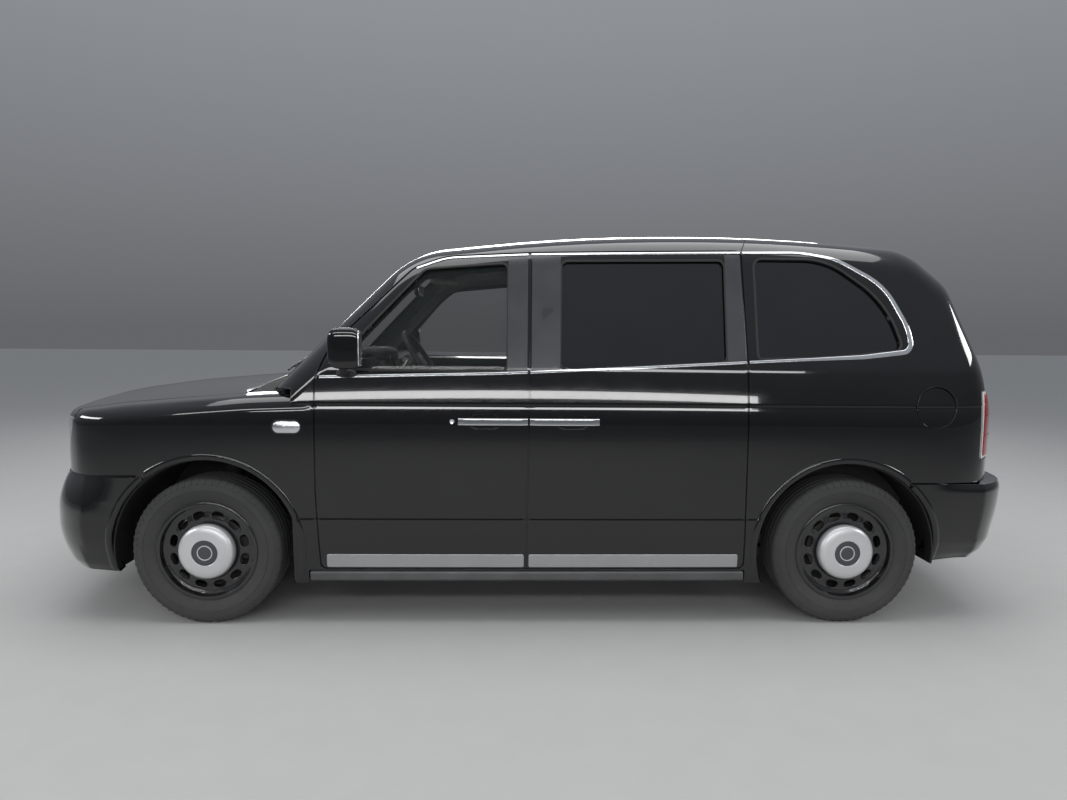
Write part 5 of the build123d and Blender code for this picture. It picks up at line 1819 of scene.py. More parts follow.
class Glazing(Kit):
    """Every pane of glass."""

    def build(self) -> None:
        """Make the door windows, windscreen, quarter windows and rear screen."""
        for name, window, finish in (("front", FRONT_WINDOW, Finish.CLEAR), ("rear", REAR_WINDOW, Finish.TINT)):
            xs = [row[0] for row in window]
            extent = (min(xs) - 20, max(xs) + 20, 1160.0, 1800.0)
            pane = Skin.lay(CABIN, SIDE_MAP, extent, [side_cut(window, -1.0, True)], 40.0).shell(14, 19, 0.5)
            self.pair(f"{name}_glass_pane", pane, finish, f"{name}_door", f"{name}_glass")
        solids = {}
        for name, patch, extent, cut, top, bottom in (
            ("windscreen", SCREEN_MAP, (-780.0, 780.0, 1050.0, 1700.0), screen_cut(WINDSCREEN, -1, True), 0.5, 6),
            ("quarter", CORNER_MAP, (-1800.0, -1040.0, 1220.0, 1900.0), side_cut(QUARTER_WINDOW, -1, True), 14, 19),
            ("rear", TAIL_MAP, (-620.0, 620.0, 1200.0, 1850.0), rear_cut(REAR_SCREEN, -1, True), 14, 19),
        ):
            solids[name] = Skin.lay(CABIN, patch, extent, [cut], 36.0).shell(top, bottom, 0.5)
        self.single("windscreen", solids["windscreen"], Finish.CLEAR, "root", "fixed_glass")
        self.pair("quarter_pane", solids["quarter"], Finish.TINT)
        self.single("rear_screen", solids["rear"], Finish.TINT, "tailgate", "tailgate_glass")


class Wheels(Kit):
    """Pressed steel wheels with bright caps, brake discs and tyres; outlines are (along the axle, radius)."""

    barrel = (
        (95, 216), (97, 226), (94, 232), (88, 231), (86, 216), (70, 213), (36, 211), (18, 196), (-34, 196),
        (-48, 213), (-86, 215), (-88, 232), (-95, 232), (-95, 208), (-50, 206), (-36, 189), (20, 189),
        (34, 206), (70, 209), (95, 216),
    )
    tyre = (
        (86, 218), (89, 232), (95, 239), (101, 252), (106, 272), (107.4, 284), (106, 285), (105.6, 287),
        (107.2, 289), (106, 302), (103, 314), (101.4, 315), (101.2, 318), (99.5, 321), (96, 329), (90, 337),
        (84, 341),
    )
    cap = (
        (60, 119), (72, 127), (92, 129), (104, 127), (113, 121),
        (119, 110), (122, 92), (123, 62), (121.5, 60), (116, 60),
    )
    medallion = ((116, 60), (119, 59), (120, 56), (119, 36), (117, 33), (119, 30), (120, 24), (120, 0))
    ring = ((118, 36), (120.4, 35), (120.8, 33), (120.4, 31), (118, 30), (118, 36))
    shield = ((-32, 60), (-24, 66), (-24, 178), (-16, 184), (-16, 181), (-21, 176), (-21, 62), (-32, 60))
    brake = ((-10, 148), (14, 148), (14, 80), (46, 78), (46, 30), (34, 30), (8, 70), (-10, 84), (-10, 148))
    middle_y = 810.0
    block_count = 64
    nut_count = 5
    hole_count = 12

    def build(self) -> None:
        """Make the four wheels and tyres."""
        disc = self.disc()
        shoulder = np.array([(0, y, r) for y, r in self.tyre if r >= 318] + [(0, 74, 343)], float)
        outward = np.gradient(shoulder, axis=0)[:, [0, 2, 1]] * np.array([1, 1, -1])
        block = swept(shoulder, outward, bar_section(11, 4.2, 1.0, -2.0), False)
        blocks = self.weave.repeated(block, self.block_count, turn=(0, math.tau / self.block_count, 0))
        nut = boxed(-9, 9, 44, 60, 48, 66, 4)
        nuts = self.weave.repeated(nut, self.nut_count, turn=(0, math.tau / self.nut_count, 0))
        looks = (Finish.WHEEL, Finish.CAP, Finish.MEDALLION, Finish.BRAKE)
        for end, x, carrier in (("front", AXLE, "knuckle"), ("rear", -AXLE, "root")):
            centre = np.array([x, self.middle_y, AXLE_Z])
            wheel = together(
                revolved(self.barrel, centre, 120),
                disc.moved(centre).painted(0),
                revolved(self.cap, centre, 120).painted(1),
                revolved(self.medallion, centre, 64).painted(2),
                revolved(self.ring, centre, 64).painted(1),
                revolved(self.brake, centre, 72).painted(3),
                nuts.moved(centre).painted(3),
            )
            shield = outwards(revolved(self.shield, centre, 72))
            self.pair(f"dust_shield_{end}", shield, Finish.UNDERBODY, carrier)
            outer = blocks.moved(centre)
            inner = outer.mirrored().moved((0, 2 * self.middle_y, 0))
            tyre = together(revolved(self.tyre_rows(), centre, 168), outer, inner)
            for side, solid, rubber in (("left", wheel, tyre), ("right", wheel.mirrored(), tyre.mirrored())):
                body = f"wheel_{end}_{side}"
                self.single(f"rim_{end}_{side}", solid, looks, body, body)
                self.single(f"tread_{end}_{side}", rubber, (Finish.TYRE,), body, f"tyre_{end}_{side}")

    def tyre_rows(self) -> list[tuple[float, float]]:
        """Return the tyre's section from bead to bead, with its tread grooves."""
        outer = [*self.tyre, (70, 344)]
        for groove in (52, 18):
            outer += [(groove + 5, 344.6), (groove + 3.6, 337), (groove - 3.6, 337), (groove - 5, 344.8)]
        return outer + [(-y, r) for y, r in reversed(outer)]

    @classmethod
    def disc(cls) -> Solid:
        """Make the pierced disc about the origin."""
        radii = np.array([0, 60, 90, 104, 118, 130, 145, 160, 175, 190, 202, 214])
        depth = np.array([48, 50, 54, 57, 61, 67, 71, 70, 66, 64, 67, 75])

        def face(p: np.ndarray) -> np.ndarray:
            """Return how far places are in front of the disc's outer face."""
            return p[:, 1] - np.interp(np.hypot(p[:, 0], p[:, 2]), radii, depth)

        def rounding(value: float) -> float:
            """Return a sine or cosine squared off a little."""
            return math.copysign(abs(value) ** 0.8, value)

        cuts = [side_cut(circle_rows(0, 0, 213, 120), keep=True), side_cut(circle_rows(0, 0, 84, 60))]
        for number in range(cls.hole_count):
            turn = math.tau * (number + 0.5) / cls.hole_count
            along = np.array([math.cos(turn), math.sin(turn)])
            across = np.array([-along[1], along[0]])
            rows = []
            for step in range(20):
                angle = math.tau * step / 20
                spot = along * 168 + across * 30 * rounding(math.cos(angle))
                spot = spot + along * 20 * rounding(math.sin(angle))
                rows.append((spot[0], spot[1], 0.0))
            cuts.append(side_cut(rows))
        return Skin.lay(face, FLAT_MAP, (-220.0, 220.0, -220.0, 220.0), cuts, 11.0).shell(0, 5, 1.8)


class Lamps(Kit):
    """Headlamps, tail lamps, fog lamps, grille, intake and the blank plates."""

    def build(self) -> None:
        """Make every lamp and the front and rear dressing."""
        self.tail_lamps()
        self.head_lamps()
        self.grille()
        self.lower_front()
        self.plates()

    def tail_lamps(self) -> None:
        """Make the upright tail lamps: red lens, pale front edge and dark housing."""
        extent = (-2440.0, -2100.0, 770.0, 1120.0)

        def layer(rows: Sequence[Row], depths: tuple[float, float, float], inner: Sequence[Cut] = ()) -> Solid:
            """Return one layer of the lamp."""
            cuts = [side_cut(rows, -1.0, True), TAILGATE_HOLE, *inner]
            return Skin.lay(CABIN, CORNER_MAP, extent, cuts, 14.0).shell(*depths)

        whole, red = rect(-FAR, -2130, 788, 1102, 12), rect(-FAR, -2150, 800, 1090, 10)
        self.pair("tail_lamp_housing", layer(whole, (14, 40, 2.0)), Finish.RUBBER)
        self.pair("tail_lamp_edge", layer(whole, (1, 14, 2.0), [side_cut(red)]), Finish.PLATE)
        self.pair("tail_lamp_lens", layer(red, (-3, 12, 3.0)), Finish.RED_LENS)
        section = bar_section(8, 3, 1.2, -1.0)
        bands = []
        for height, end in ((896.0, -2256.0), (992.0, -2242.0)):
            line = [(x, height) for x in np.linspace(-2160, end, 16)]
            bands.append(beaded(line, Look.SIDE, CABIN, section, lift=3.0))
        ribs = together(*bands)
        self.single("tail_lamp_ribs_left", ribs, Finish.RED_LENS, "root", "tail_lamps")
        self.single("tail_lamp_ribs_right", ribs.mirrored(), Finish.RED_LENS)

    def head_lamps(self) -> None:
        """Make each headlamp: clear cover, dark housing, ringed projector and side reflector."""
        outline = front_cut(HEADLAMP, -2.0, True)
        edge = side_cut([*((x + 3, z, 0) for x, z in LAMP_REAR), (0, 600, 0), (0, 1400, 0)], EDGE)
        cover = Skin.lay(NOSE, FRONT_WRAP, (200.0, 1300.0, 700.0, 962.0), [outline, edge], 18.0)
        turn = math.radians(14)
        out = np.array([math.cos(turn), math.sin(turn), 0.0])
        across = np.array([-math.sin(turn), math.cos(turn), 0.0])
        centre = np.array([2196.0, 574.0, 838.0])

        def facing(solid: Solid) -> Solid:
            """Return a piece turned about y, moved to where the lamp faces."""
            return placed(solid, centre, across, (0, 0, 1), out)

        self.pair("headlamp_housing", cover.shell(88, 100, 1.0), Finish.RUBBER)
        band = [*((x + 12, z, 0) for x, z in LAMP_REAR), *((x + 66, z, 0) for x, z in reversed(LAMP_REAR))]
        cuts = [outline, side_cut(band, keep=True), front_cut(rect(-700, 700, 600, 1000))]
        side = Skin.lay(NOSE, FRONT_WRAP, (200.0, 1300.0, 712.0, 956.0), cuts, 14.0)
        self.pair("headlamp_side", side.shell(16, 24, 3.0), Finish.REFLECTOR)
        for name, rows, finish in (
            ("ring", ((26, 96), (34, 102), (40, 98), (38, 84), (28, 80), (18, 84), (26, 96)), Finish.REFLECTOR),
            ("bowl", ((28, 80), (12, 74), (-2, 62), (-8, 48), (-8, 40)), Finish.REFLECTOR),
            ("projector", ((-10, 46), (6, 46), (10, 42), (14, 40), (24, 30), (30, 16), (32, 0)), Finish.TINT),
        ):
            self.pair(f"headlamp_{name}", facing(revolved(rows, (0, 0, 0), 72).reordered(0, 2, 1)), finish)
        fins = self.weave.repeated(boxed(-2, 2, -4, 4, 84, 96, 1.2), 40, turn=(0, math.tau / 40, 0))
        self.pair("headlamp_fins", facing(fins.reordered(0, 2, 1).moved((0, 0, 30))), Finish.CHROME)
        lamp_cover = cover.shell(0, 4, 1.5)
        self.single("headlamp_cover_left", lamp_cover, Finish.LENS, "root", "headlamps")
        self.single("headlamp_cover_right", lamp_cover.mirrored(), Finish.LENS)

    def grille(self) -> None:
        """Make the upright grille: bright surround and slats on a dark plate."""
        form = Stack(((500, 66), (1000, 66)))
        extent = (-520.0, 520.0, 590.0, 950.0)
        cuts = [front_cut(GRILLE, -3.0, True), front_cut(GRILLE, -24.0)]
        surround = Skin.lay(form, FRONT_WRAP, extent, cuts, 14.0).shell(-14, 60, 6.0)
        self.single("grille_surround", surround, Finish.CHROME, "root", "grille")
        plate = Skin.lay(form, FRONT_WRAP, extent, [front_cut(GRILLE, -20.0, True)])
        self.single("grille_plate", plate.shell(44, 54, 1.0), Finish.RUBBER)
        slat = boxed(2308, 2336, -243, -237, 624, 918, 2.4)
        self.single("grille_slats", self.weave.repeated(slat, 17, step=(0, 30, 0)), Finish.CHROME)
        self.single("grille_bar", boxed(2304, 2342, -252, 252, 764, 776, 4), Finish.CHROME)

    def lower_front(self) -> None:
        """Make the intake's bars and mesh plate, and the fog lamps."""
        mesh = [front_cut(INTAKE, 10.0, True)]
        plate = Skin.lay(FRONT_BUMPER, FRONT_WRAP, (-700.0, 700.0, 300.0, 500.0), mesh)
        self.single("intake_plate", plate.shell(44, 48, 1.0), Finish.RUBBER)
        bars = []
        for height in (364.0, 400.0, 436.0):
            line = [(y, height) for y in np.linspace(-404, 404, 60)]
            path, normals = lay_path(line, Look.FRONT, FRONT_BUMPER, FRONT_START)
            bars.append(self.weave.tube(path - normals * 26, 5.0))
        self.single("intake_bars", together(*bars), Finish.PLASTIC)
        cut = front_cut(fog_rows(620.0), -1.0, True)
        lamp = Skin.lay(FRONT_BUMPER, FRONT_WRAP, (500.0, 1100.0, 350.0, 470.0), [cut], 10.0)
        self.pair("fog_lens", lamp.shell(4, 8, 1.0), Finish.LENS)
        self.pair("fog_bowl", lamp.shell(26, 32, 0.5), Finish.REFLECTOR)

    def plates(self) -> None:
        """Make the blank plates, the bar over the rear one, the high brake lamp and the rear reflectors."""
        cut = front_cut(FRONT_PLATE, -3.0, True)
        skin = Skin.lay(FRONT_BUMPER, FRONT_WRAP, (-400.0, 400.0, 470.0, 620.0), [cut], 16.0)
        self.single("front_plate", skin.shell(2, 6, 1.0), Finish.PLATE)
        self.single("front_plate_tray", skin.shell(9, 16, 4.0), Finish.RUBBER)
        cut = rear_cut(rect(-256, 256, 830, 940, 10), keep=True)
        skin = Skin.lay(CABIN, TAIL_MAP, (-320.0, 320.0, 790.0, 980.0), [cut], 16.0)
        self.single("rear_plate", skin.shell(12, 16, 1.0), Finish.PLATE, "tailgate")
        self.single("rear_plate_tray", skin.shell(20, 28, 4.5), Finish.RUBBER, "tailgate")
        for name, reach, height, count, section, finish in (
            ("tail_bar", 270, 972.0, 40, bar_section(22, 12, 5.0, -3.0), Finish.CHROME),
            ("brake_strip", 150, 1716.0, 30, bar_section(14, 7, 3.0, -3.0), Finish.RED_LENS),
        ):
            line = [(y, height) for y in np.linspace(-reach, reach, count)]
            self.single(name, beaded(line, Look.REAR, CABIN, section, start=TAIL_START), finish, "tailgate")
        for name, side in (("right", -1), ("left", 1)):
            line = [(side * 470.0, 600.0), (side * 540.0, 600.0)]
            spot, normal = lay_path(line, Look.REAR, REAR_BUMPER, -1900.0)
            span = np.linspace(0, 1, 6)[:, None]
            path = spot[0] * (1 - span) + spot[1] * span
            section = bar_section(30, 6, 2.5, -3.0)
            solid = swept(path - normal[0] * 1.5, np.tile(normal[0], (6, 1)), section, False)
            # The red lens finish gives these reflectors a faint painted glow, though they are no lamp.
            self.single(f"rear_reflector_{name}", solid, Finish.RED_LENS)


class Trim(Kit):
    """Chrome strips, seals, window frames, handles, lips, kick strips, liners, mirrors and wipers."""

    belt = ((984, 1157), (596, 1167), (138, 1178), (-4, 1184), (-505, 1207), (-1006, 1234))

    def build(self) -> None:
        """Make all trims."""
        self.strips()
        self.seals()
        self.window_frames()
        self.handles()
        self.kick_strips()
        self.arches()
        self.indicators()
        self.mirrors()
        self.screen()
        self.steps()

    def strip(
        self,
        rows: Sequence[Row],
        section: np.ndarray,
        closed: bool = False,
        widths: tuple[Sequence[float], Sequence[float]] | None = None,
    ) -> Solid:
        """Sweep a section along an outline laid on the body side; widths are (x places, shares)."""
        path, normals = lay_path(rounded(rows, 12.0, closed), Look.SIDE, CABIN)
        share = None if widths is None else np.interp(path[:, 0], *widths)
        return swept(path, normals, section, closed, share)

    def strips(self) -> None:
        """Make the bright strips under and over the windows, cut at the doors."""
        section = bar_section(12, 5, 2.4, -1.0)
        xs, zs = np.array(self.belt[::-1]).T
        for name, low, high in (("front", 10.0, 962.0), ("rear", -1004.0, -2.0)):
            line = [(x, float(np.interp(x, xs, zs)), 0) for x in np.linspace(low, high, 30)]
            self.pair(f"belt_{name}", self.strip(line, section), Finish.CHROME, f"{name}_door")
        for name, line in (
            ("front", ((9, 1734, 0), (396, 1716, 320), (536, 1664, 100))),
            ("rear", ((-1004, 1752, 0), (-7, 1735, 0))),
        ):
            self.pair(f"header_{name}", self.strip(line, section), Finish.CHROME, f"{name}_door")
        line = [(-1014 - s * 54, 1764 + s * 84) for s in np.linspace(0, 1, 16)]
        joint = beaded(line, Look.SIDE, CABIN, bar_section(4.5, 1.6, 0.6, -1.0))
        self.pair("roof_joint", joint, Finish.RUBBER)
        quarter = (
            (-1017, 1752, 0), (-1300, 1756, 500), (-1468, 1726, 300), (-1690, 1600, 300),
            (-1784, 1400, 300), (-1794, 1290, 46), (-1560, 1262, 900), (-1017, 1235, 0),
        )
        widths = ((-1795, -1600, -1300, -1017), (1.9, 1.7, 1.1, 1.0))
        self.pair("quarter_surround", self.strip(quarter, section, widths=widths), Finish.CHROME)

    def seals(self) -> None:
        """Make the rubber seals round every side window and the rear screen."""
        section = bar_section(12, 5, 2.0, -3.5)
        for name, window, body in (
            ("front_seal", FRONT_WINDOW, "front_door"),
            ("rear_seal", REAR_WINDOW, "rear_door"),
            ("quarter_seal", QUARTER_WINDOW, "root"),
        ):
            self.pair(name, self.strip(grown(window, 3.0), section, closed=True), Finish.RUBBER, body)
        seal = beaded(rounded(REAR_SCREEN, 12.0), Look.REAR, CABIN, section, True, TAIL_START)
        self.single("rear_screen_seal", seal, Finish.RUBBER, "tailgate")

    def window_frames(self) -> None:
        """Make the dark satin window frames beside the door cuts."""
        for name, outline, body in (
            ("front_frame", ((12, 1190, 2), (104, 1186, 2), (104, 1724, 2), (9, 1727, 2)), "front_door"),
            ("rear_frame", ((-6, 1192, 2), (-138, 1198, 2), (-146, 1728, 2), (-9, 1726, 2)), "rear_door"),
            ("corner_frame", ((-916, 1238, 2), (-1003, 1242, 2), (-1003, 1743, 2), (-928, 1741, 2)), "rear_door"),
        ):
            xs = [row[0] for row in outline]
            extent = (min(xs) - 10, max(xs) + 10, 1150.0, 1850.0)
            skin = Skin.lay(CABIN, SIDE_MAP, extent, [side_cut(outline, -2.0, True)], 30.0)
            self.pair(name, skin.shell(-2.2, 1.5, 1.2), Finish.SATIN, body)

    @staticmethod
    def dished(skin: Skin, away: np.ndarray, lean: np.ndarray) -> Skin:
        """Move a skin along its normals by a distance at each point, and lean the normals to match."""
        skin.points = skin.points + skin.normals * away[:, None]
        turned = skin.normals + lean
        skin.normals = turned / np.linalg.norm(turned, axis=1)[:, None]
        return skin

    def handles(self) -> None:
        """Make the bright pull handles, the dark bowls behind them and the lock."""
        share = np.linspace(0, 1, 33)
        section = rounded(rect(-16, 16, -6, 7, 5.8), math.inf)
        rise = 12 * np.clip(np.sin(np.pi * (share * 0.98 + 0.01)) * 3.2, 0, 1)
        for door, (start, end) in HANDLES.items():
            name = door.removesuffix("_door")
            path, normals = lay_path([(start + (end - start) * s, HANDLE_Z) for s in share], Look.SIDE, CABIN)
            bar = swept(path + normals * (rise + 2)[:, None], normals, section, False)
            self.pair(f"handle_{name}", bar, Finish.CHROME, door)
            pocket = bowl_place(door)
            bowl = [side_cut(bowl_rows(door), 3.0, True)]
            skin = Skin.lay(CABIN, FLAT_MAP, (pocket - 90, pocket + 90, 900.0, 1010.0), bowl, 9.0)
            along, up = (skin.points[:, 0] - pocket) / 74, (skin.points[:, 2] - HANDLE_Z) / 36
            sink = 30 * np.clip(1 - np.hypot(along, up) ** 2.4, 0, 1) + 6
            skin = self.dished(skin, -sink, -np.stack([along * 0.9, 0 * along, up * 1.3], 1))
            self.pair(f"handle_bowl_{name}", skin.shell(0, 1.5, 0.3), Finish.PLASTIC, door)
        barrel = revolved(((0, 0), (3, 9), (3, 11), (0, 12), (-4, 12)), (0, 0, 0), 40)
        spot, _ = lay_path([(356.0, HANDLE_Z)], Look.SIDE, CABIN)
        self.pair("lock", barrel.moved(spot[0]), Finish.CHROME, "front_door")

    def kick_strips(self) -> None:
        """Make the polished strips along the bottom of the doors."""
        for name, low, high in (("front", 26.0, 936.0), ("rear", -978.0, 0.0)):
            cuts = [side_cut(rect(low, high, 276, 334, 6), keep=True)]
            skin = Skin.lay(CABIN, FLAT_MAP, (low - 20, high + 20, 250.0, 350.0), cuts, 26.0)
            self.pair(f"kick_{name}", skin.shell(-3.0, 0.5, 2.0), Finish.SILVER, f"{name}_door")

    def arches(self) -> None:
        """Make the raised lips round the wheel arches and the dark liners inside them."""
        section = np.array([(-14, -3), (14, -3), (14, 1.6), (11, 3.4), (0, 4.2), (-11, 3.6), (-14, 1.0)])
        for name, centre, lip, low, high, form, radius, span in (
            ("front", AXLE, 448.0, 54.5, 193.0, NOSE, 431.0, (-12.0, 198.0)),
            ("rear", -AXLE, 440.0, -6.0, 130.6, CABIN, 423.0, (-15.0, 188.0)),
            ("front_bumper", AXLE, 448.0, -11.0, 51.4, FRONT_BUMPER, 0.0, ()),
            ("rear_bumper", -AXLE, 440.0, 133.4, 186.0, REAR_BUMPER, 0.0, ()),
        ):
            turns = np.radians(np.linspace(low, high, 90))
            flat = np.column_stack([centre + lip * np.cos(turns), AXLE_Z + lip * np.sin(turns)])
            self.pair(f"{name}_lip", beaded(flat, Look.SIDE, form, section), Finish.PAINT)
            if span:
                self.pair(f"{name}_liner", self.liner(centre, radius, *span), Finish.RUBBER)

    @staticmethod
    def liner(centre: float, radius: float, low: float, high: float) -> Solid:
        """Return the liner of a wheel arch, between two angles about the axle."""
        count = 60
        ring = np.array(((0, 896), (-5, 893), (-5, 640), (0, 636), (5, 640), (5, 893)), float)
        turns = np.radians(np.linspace(low, high, count))
        rings = np.empty((count, len(ring), 3))
        reach = radius + ring[:, 0]
        rings[:, :, 0] = centre + np.cos(turns)[:, None] * reach
        rings[:, :, 1] = ring[:, 1]
        rings[:, :, 2] = AXLE_Z + np.sin(turns)[:, None] * reach
        number = np.arange(count * len(ring)).reshape(count, len(ring))
        return outwards(Solid.of(rings.reshape(-1, 3), laced(number[:-1], number[1:])))

    def indicators(self) -> None:
        """Make the clear indicators on the wings."""
        cuts = [side_cut(rect(1048, 1170, 904, 956, 25.5), keep=True)]
        skin = Skin.lay(NOSE, FLAT_MAP, (1030.0, 1190.0, 880.0, 980.0), cuts, 10.0)
        a, b = (skin.points[:, 0] - 1109) / 61, (skin.points[:, 2] - 930) / 26
        bulge = 5 * np.clip(1 - np.hypot(a, b) ** 2, 0, 1)
        skin = self.dished(skin, bulge, np.stack([a * 0.14, 0 * a, b * 0.34], 1))
        self.pair("indicator", skin.shell(-1.0, 3.0, 1.5), Finish.REFLECTOR)
        rows = rounded(rect(1043, 1175, 899, 961, 30), 8.0)
        bezel = beaded(rows, Look.SIDE, NOSE, bar_section(5, 4, 1.6, -2.0), True)
        self.pair("indicator_bezel", bezel, Finish.RUBBER)

    def mirrors(self) -> None:
        """Make the door mirrors: housing, glass, arm and base."""
        housing = blob((824, 976, 1291), (72, 41, 91), 5.0, 40)
        forward = np.clip((housing.points[:, 0] - 824) / 71, 0, 1)
        taper = (1 - 0.16 * forward**3)[:, None]
        housing.points[:, 1:] = [976, 1291] + (housing.points[:, 1:] - [976, 1291]) * taper
        self.pair("mirror_housing", housing, Finish.PAINT, "front_door")
        self.pair("mirror_glass", blob((756, 976, 1291), (4, 34, 80), 6.0, 20), Finish.REFLECTOR, "front_door")
        arm = self.weave.tube(bent(((838, 874, 1172), (838, 944, 1180), (836, 970, 1212)), 30), 17.0)
        self.pair("mirror_arm", arm, Finish.PLASTIC, "front_door")
        self.pair("mirror_base", blob((838, 888, 1174), (46, 16, 18), 3.2, 16), Finish.PLASTIC, "front_door")

    def screen(self) -> None:
        """Make the windscreen's printed border, its seal and the wipers."""
        cuts = [screen_cut(WINDSCREEN, -3.0, True), screen_cut(grown(WINDSCREEN, -44.0))]
        band = Skin.lay(CABIN, SCREEN_MAP, (-780.0, 780.0, 1050.0, 1700.0), cuts, 30.0)
        self.single("screen_border", band.shell(0.1, 0.4, 0.1), Finish.RUBBER)
        rows = rounded(WINDSCREEN, 14.0)
        seal = beaded(rows, Look.FRONT, CABIN, bar_section(12, 4, 1.8, -3.0), True, SCREEN_BEYOND)
        self.single("screen_seal", seal, Finish.RUBBER)
        blades, arms = [], []
        for pivot, tip, rise in ((520.0, -60.0, 1178.0), (-60.0, -600.0, 1172.0)):
            share = np.linspace(0, 1, 24)
            line = [(pivot - 40 + (tip - pivot) * s, rise + 34 * math.sin(s * 2.6)) for s in share]
            blades.append(beaded(line, Look.FRONT, CABIN, bar_section(9, 11, 3.0), False, SCREEN_BEYOND, 3))
            line = [(pivot, 1156.0), (pivot - 60, 1170.0), ((pivot + tip) / 2, rise + 30)]
            arm, up = lay_path(line, Look.FRONT, CABIN, SCREEN_BEYOND)
            arms.append(self.weave.tube(bent(arm + up * 17, 40), 5.0))
        self.single("wiper_blades", together(*blades), Finish.RUBBER)
        self.single("wiper_arms", together(*arms), Finish.SATIN)

    def steps(self) -> None:
        """Make the sill steps with their ribbed treads."""
        low, high = STEP_X
        rows = ((806, 206, 8), (902, 204, 14), (916, 214, 10), (916, 250, 10), (900, 257, 8), (806, 257, 4))
        bar = outwards(extruded(rows, low, high, 5.0).reordered(1, 0, 2))
        ribs = self.weave.repeated(boxed(low + 20, high - 20, 842, 847, 255.4, 258.0, 1.0), 6, step=(0, 9.5, 0))
        self.single("step_left", bar, Finish.STEP, "root", "side_steps")
        self.single("step_ribs_left", ribs, Finish.RUBBER)
        self.single("step_right", bar.mirrored(), Finish.STEP)
        self.single("step_ribs_right", ribs.mirrored(), Finish.RUBBER)


AHEAD, LEFT, UP = (1.0, 0.0, 0.0), (0.0, 1.0, 0.0), (0.0, 0.0, 1.0)
BACK = (-1.0, 0.0, 0.0)


